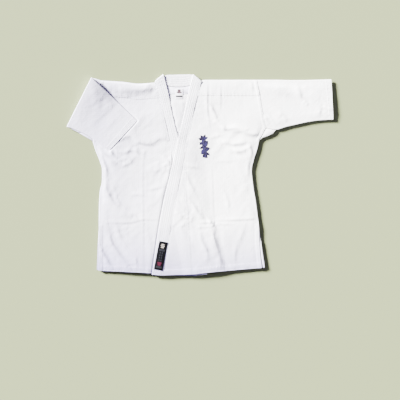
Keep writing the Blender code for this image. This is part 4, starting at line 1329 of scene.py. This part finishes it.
def makeLining():   # the part of it that shows inside the neck
    half, bottom = lining["half"], lining["bottom"]
    outline = [(x, float(downAt(liningNeck, x))) for x in np.linspace(half, -half, 25)]
    outline += [(-half, bottom), (half, bottom)]
    low = clothThick + seamGap
    return plateOf("shoulderLining", outline, low, low + lining["thick"], liningDrill, 0.3)


shoulderLining = makeLining()
print("back, gussets and lining sewn")


# Labels: woven ones with a made-up pattern of bars, lozenges and six-sided tiles

lapelLabel = dict(centre=(-70.0, 703.0), size=(35.0, 116.0), turn=11.0, base=6.7, thick=0.5)
neckLabel = dict(centre=(3.0, 56.0), size=(30.0, 40.0), turn=0.0, base=2.6, thick=0.6)


def onLabel(label, points):
    turn = math.radians(label["turn"])
    c, s = math.cos(turn), math.sin(turn)
    x0, y0 = label["centre"]
    return [(x0 + c * x - s * y, y0 + s * x + c * y) for x, y in points]


def box(x, y, w, h):
    return [(x - w / 2, y - h / 2), (x + w / 2, y - h / 2), (x + w / 2, y + h / 2), (x - w / 2, y + h / 2)]


def lozenge(x, y, w, h):
    return [(x, y - h / 2), (x + w / 2, y), (x, y + h / 2), (x - w / 2, y)]


def sixSided(x, y, w, h):
    return [
        (x - w / 4, y - h / 2), (x + w / 4, y - h / 2), (x + w / 2, y),
        (x + w / 4, y + h / 2), (x - w / 4, y + h / 2), (x - w / 2, y),
    ]


def labelMarks(name, label, shapes, finish):   # floats of yarn that stand 0.14 mm proud
    z = label["base"] + label["thick"]
    marks = []
    for k, shape in enumerate(shapes):
        marks.append(plateOf(f"{name}{k}", onLabel(label, shape), z - 0.1, z + 0.14, finish, 0))
    return joined(name, marks)


def makeLabel(name, label, finish):
    w, h = label["size"]
    outline = onLabel(label, box(0, 0, w, h))
    return plateOf(name, outline, label["base"], label["base"] + label["thick"], finish, 0.2)


blackLabel = makeLabel("lapelLabel", lapelLabel, blackDamask)
creamShapes = [sixSided(0, -46, 14, 3.6), sixSided(0, -40, 18, 3.6), sixSided(0, -34, 14, 3.6)]
creamMarks = labelMarks("labelCream", lapelLabel, creamShapes, creamYarn)
greyShapes = [box(0, y, 24, 2.2) for y in (-25, -21, 44, 48)]
greyShapes += [lozenge(x, y, 5, 7) for x in (-4, 4) for y in (-12, -2, 8, 18)]
greyMarks = labelMarks("labelGrey", lapelLabel, greyShapes, greyYarn)
redMarks = labelMarks("labelRed", lapelLabel, [box(0, 29, 17, 6.5), box(0, 36.5, 12, 6.5)], redYarn)
whiteLabel = makeLabel("neckLabel", neckLabel, whiteDamask)
roseShapes = [sixSided(0, -14.8, 16, 8), sixSided(0, -6.6, 24, 8)]
roseMarks = labelMarks("neckLabelRose", neckLabel, roseShapes, roseYarn)
neckBar = labelMarks("neckLabelGrey", neckLabel, [box(0, 9.5, 27, 6.0)], paleGreyYarn)
print("labels sewn")


# Embroidery: a bamboo sprig in satin stitch on the left chest

sprig = dict(
    centre=(104.0, 264.0),
    tilt=8.0,              # degrees
    crown=0.75,            # how far the stitches stand up
    thread=1.1,            # width of one drawn stitch
)
sprigLeaves = rowsOf(
    "x y angle length width dark",
    (2, -31, -62, 16, 12, 1), (-2, -31, -118, 16, 12, 1), (3, -28, -18, 16, 13, 0),
    (-3, -27, -162, 18, 14, 1), (2, -19, 34, 19, 13, 1), (-3, -16, 152, 18, 13, 0),
    (3, -11, -24, 16, 13, 0), (-3, -8, -152, 18, 13, 1),
    (2, 1, -36, 17, 13, 0), (-2, 3, 166, 20, 12, 1), (3, 9, 12, 19, 13, 1), (-3, 14, 144, 18, 13, 0),
    (2, 19, -20, 18, 12, 0), (-2, 23, 160, 19, 13, 0), (3, 27, 44, 19, 13, 1), (-2, 31, 128, 18, 13, 1),
)
sprigJoints = rowsOf(
    "x y angle length width",
    (-4, -36, 70, 15, 6), (4, -22, 110, 14, 6), (-5, -6, 60, 15, 6), (5, 8, 115, 14, 6),
    (-4, 22, 75, 14, 6), (3, 34, 95, 14, 6),
)
stemPoints = rowsOf("x y width", (0, -38, 18), (1, -19, 20), (-1, 1, 21), (1, 22, 15), (0, 48, 0))
sprigStems = rowsOf(
    "x y angle length width",
    *(
        (a.x, a.y, math.degrees(math.atan2(b.y - a.y, b.x - a.x)), math.hypot(b.x - a.x, b.y - a.y), a.width)
        for a, b in zip(stemPoints, stemPoints[1:])
    ),
)


def sprigSurface():
    chest = frontTop(leftHalf)
    tilt = math.radians(sprig["tilt"])
    c, s = math.cos(tilt), math.sin(tilt)

    def placed(x, y, rise):
        across = sprig["centre"][0] + c * x + s * y
        down = sprig["centre"][1] - s * x + c * y
        return np.stack([across, down, chest(across, down) + rise], -1)

    return placed


def satin(name, shape, finish, placed, leaf=True, lift=0.0):   # stitches side by side over a padded shape
    along = np.linspace(0, 1, max(10, int(shape.length / sprig["thread"] * 4)))
    over = np.linspace(-1, 1, 9)
    u, v = np.meshgrid(along, over, indexing="ij")
    if leaf:
        width = shape.width / 2 * np.sin(math.pi * np.clip(u, 0.03, 0.985)) ** 0.8 * (1.15 - 0.5 * u)
    else:
        width = shape.width / 2 * (1 - 0.18 * np.sin(math.pi * u))
    ridges = 0.16 * np.abs(np.sin(math.pi * (u * shape.length + 0.4 * v * width) / sprig["thread"]))
    rise = (sprig["crown"] - 0.16 + ridges) * np.sqrt(np.clip(1 - v**2, 0, 1)) + 0.05 + lift
    angle = math.radians(shape.angle)
    x = shape.x + u * shape.length * math.cos(angle) - v * width * math.sin(angle)
    y = shape.y + u * shape.length * math.sin(angle) + v * width * math.cos(angle)
    top = placed(x, y, rise)
    under = placed(x, y, np.full(x.shape, -0.25))
    return sheetOf(name, top[..., 0], top[..., 1], top[..., 2], under[..., 2], finish)


def makeSprig():
    placed = sprigSurface()
    light, dark = [], []
    for k, leaf in enumerate(sprigLeaves):
        group, finish = (dark, darkSilk) if leaf.dark else (light, violetSilk)
        group.append(satin(f"leaf{k}", leaf, finish, placed))
    for k, joint in enumerate(sprigJoints):   # darker stitches over the stem
        dark.append(satin(f"joint{k}", joint, darkSilk, placed, lift=0.35))
    for k, stem in enumerate(sprigStems):
        light.append(satin(f"stem{k}", stem, violetSilk, placed, leaf=False))
    return joined("sprigViolet", light), joined("sprigDark", dark)


sprigViolet, sprigDark = makeSprig()
print("sprig embroidered")


# Seam and hem stitching on the fronts

def stitchOn(height, x, y):
    stitchLines.append(np.stack([x, y, height(x, y) + sewing["proud"]], 1))


def sewFront(half):
    outer, inner, gussetEnd = frontEdges(half)
    side = half.side
    height = frontTop(half)
    spacing = sewing["spacing"]
    y = np.arange(6, gussetEnd - 4, spacing)
    for inset in sewing["armhole"]:
        stitchOn(height, side * (outer(y) - inset), y)
    y = np.arange(jacket["ventTop"] + 8, 742, spacing)
    stitchOn(height, side * (outer(y) - sewing["vent"]), y)
    x = side * np.arange(62 if half is leftHalf else 60, 300, spacing)
    for up in sewing["hem"]:
        stitchOn(height, x, downAt(half.hem, x) - up)
    x = side * np.arange(92, 318, spacing)   # the lining's lower edge
    y = downAt(half.shoulder, x) + jacket["liningDepth"] - sewing["lining"]
    shown = side * x > inner(y) + 2
    stitchOn(height, x[shown], y[shown])
    y = np.arange(12, 284, spacing)
    stitchOn(height, side * (inner(y) + sewing["besideBand"]), y)


def sewLeftOkumi():
    height = okumiFields(leftHalf)[1]
    spacing = sewing["spacing"]
    y = np.arange(330, 755, spacing)
    for inset in sewing["okumi"]:
        stitchOn(height, acrossAt(okumiSeam, y) - inset, y)
    stitchOn(height, bandSeam(y, False) + sewing["besideBand"], y)
    x = np.arange(-56, 48, spacing)
    stitchOn(height, x, downAt(leftHem, x) - sewing["hem"][1])


def sewLining():   # across it, inside the neck
    x = np.arange(-46, 47, sewing["spacing"])
    stitchLines.append(np.stack([x, np.full(len(x), 53.0), np.full(len(x), 2.4)], 1))


def aroundLabel(label):
    w, h = label["size"]
    corners = box(0, 0, w - 2.0, h - 2.0)
    outline = np.array(onLabel(label, corners + corners[:1]))
    return np.concatenate([outline, np.full((5, 1), label["base"] + label["thick"] + 0.1)], 1)


sewFront(leftHalf)
sewFront(rightHalf)
sewLeftOkumi()
sewLining()
stitchLines.append(aroundLabel(neckLabel))
stitches = sewLines("stitching", stitchLines, sewingThread)
labelStitches = sewLines("labelStitching", [aroundLabel(lapelLabel)], blackThread)
print("stitches sewn:", len(stitches.data.polygons), "faces")


# What each piece stands for

finished = [
    (frontRight, "front_right", "white_cotton"), (frontLeft, "front_left", "white_cotton"),
    (okumiRight, "okumi_right", "white_cotton"), (okumiLeft, "okumi_left", "white_cotton"),
    (collarBand, "collar", "band_cotton"), (leftSleeve, "sleeve_left", "white_cotton"),
    (rightSleeve, "sleeve_right", "white_cotton"), (backPanel, "back", "white_cotton"),
    (gussetLeft, "gusset_left", "white_cotton"), (gussetRight, "gusset_right", "white_cotton"),
    (shoulderLining, "shoulder_lining", "white_cotton"), (blackLabel, "lapel_label", "black_label"),
    (whiteLabel, "neck_label", "white_label"),
]
for piece, node, slot in finished:
    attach(piece, "root")
    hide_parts(node)
for piece, slot in (
    (creamMarks, "black_label"), (greyMarks, "black_label"), (redMarks, "black_label"),
    (roseMarks, "white_label"), (neckBar, "white_label"), (sprigViolet, "white_cotton"),
    (sprigDark, "white_cotton"), (stitches, "band_cotton"), (labelStitches, "black_label"),
):
    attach(piece, "root")

# Floor, light and camera

stageLook = dict(
    floor="#757D56",     # shows as a pale grey green in this much light
    floorSize=8.0,
    floorDrop=0.0042,    # the floor's place below the cloth, which widens the thin cloth's shadow
    world=0.2,
    worldColour=(0.60, 0.55, 1.0),
    key=86.0,
    keyColour=(0.985, 0.98, 1.0),
    keyHeight=15.0,      # degrees above the floor
    keyTurn=-121.5,      # shines from the upper left
    keyWidth=10.0,       # degrees, and a wide window softens the shadow
    fill=12.0,
    fillColour=(0.76, 0.71, 1.0),
    fillPlace=(0.62, 0.42, 1.75),
    fillTarget=(0.2, 0.1, 0.0),
    fillSize=1.0,
)


def makeStage():
    mesh = bpy.data.meshes.new("floor")
    half, low = stageLook["floorSize"] / 2, -stageLook["floorDrop"]
    corners = [(-half, -half, low), (half, -half, low), (half, half, low), (-half, half, low)]
    mesh.from_pydata(corners, [], [(0, 1, 2, 3)])
    finish, _, shader = newFinish("plain pale paper", 0.9)
    shader.inputs["Base Color"].default_value = linear(stageLook["floor"])
    mesh.materials.append(finish)
    placeInScene("floor", mesh)
    world = bpy.data.worlds.new("studio")
    world.use_nodes = True
    world.node_tree.nodes["Background"].inputs[0].default_value = (*stageLook["worldColour"], 1)
    world.node_tree.nodes["Background"].inputs[1].default_value = stageLook["world"]
    bpy.context.scene.world = world


def keyLight():
    light = bpy.data.lights.new("window", "SUN")
    light.energy = stageLook["key"]
    light.angle = math.radians(stageLook["keyWidth"])
    light.color = stageLook["keyColour"]
    tilt, turn = math.radians(90 - stageLook["keyHeight"]), math.radians(stageLook["keyTurn"])
    placeInScene("window", light).rotation_euler = (tilt, 0, turn)


def fillLight():
    light = bpy.data.lights.new("softbox", "AREA")
    light.size = stageLook["fillSize"]
    light.energy = stageLook["fill"]
    light.color = stageLook["fillColour"]
    lamp = placeInScene("softbox", light)
    lamp.location = stageLook["fillPlace"]
    toward = np.array(stageLook["fillTarget"]) - np.array(stageLook["fillPlace"])
    turn = math.atan2(toward[1], toward[0])
    tilt = math.atan2(math.hypot(toward[0], toward[1]), -toward[2])
    lamp.rotation_euler = (tilt, 0, turn - math.pi / 2)


makeStage()
keyLight()
fillLight()

cameraData = bpy.data.cameras.new("camera")
cameraData.sensor_width = 36.0
cameraData.lens = 90.0
camera = placeInScene("camera", cameraData)
camera.location = (0.0006, -0.100, 4.0)   # 1.6 m of floor fills the frame
bpy.context.scene.camera = camera
print("stage set")
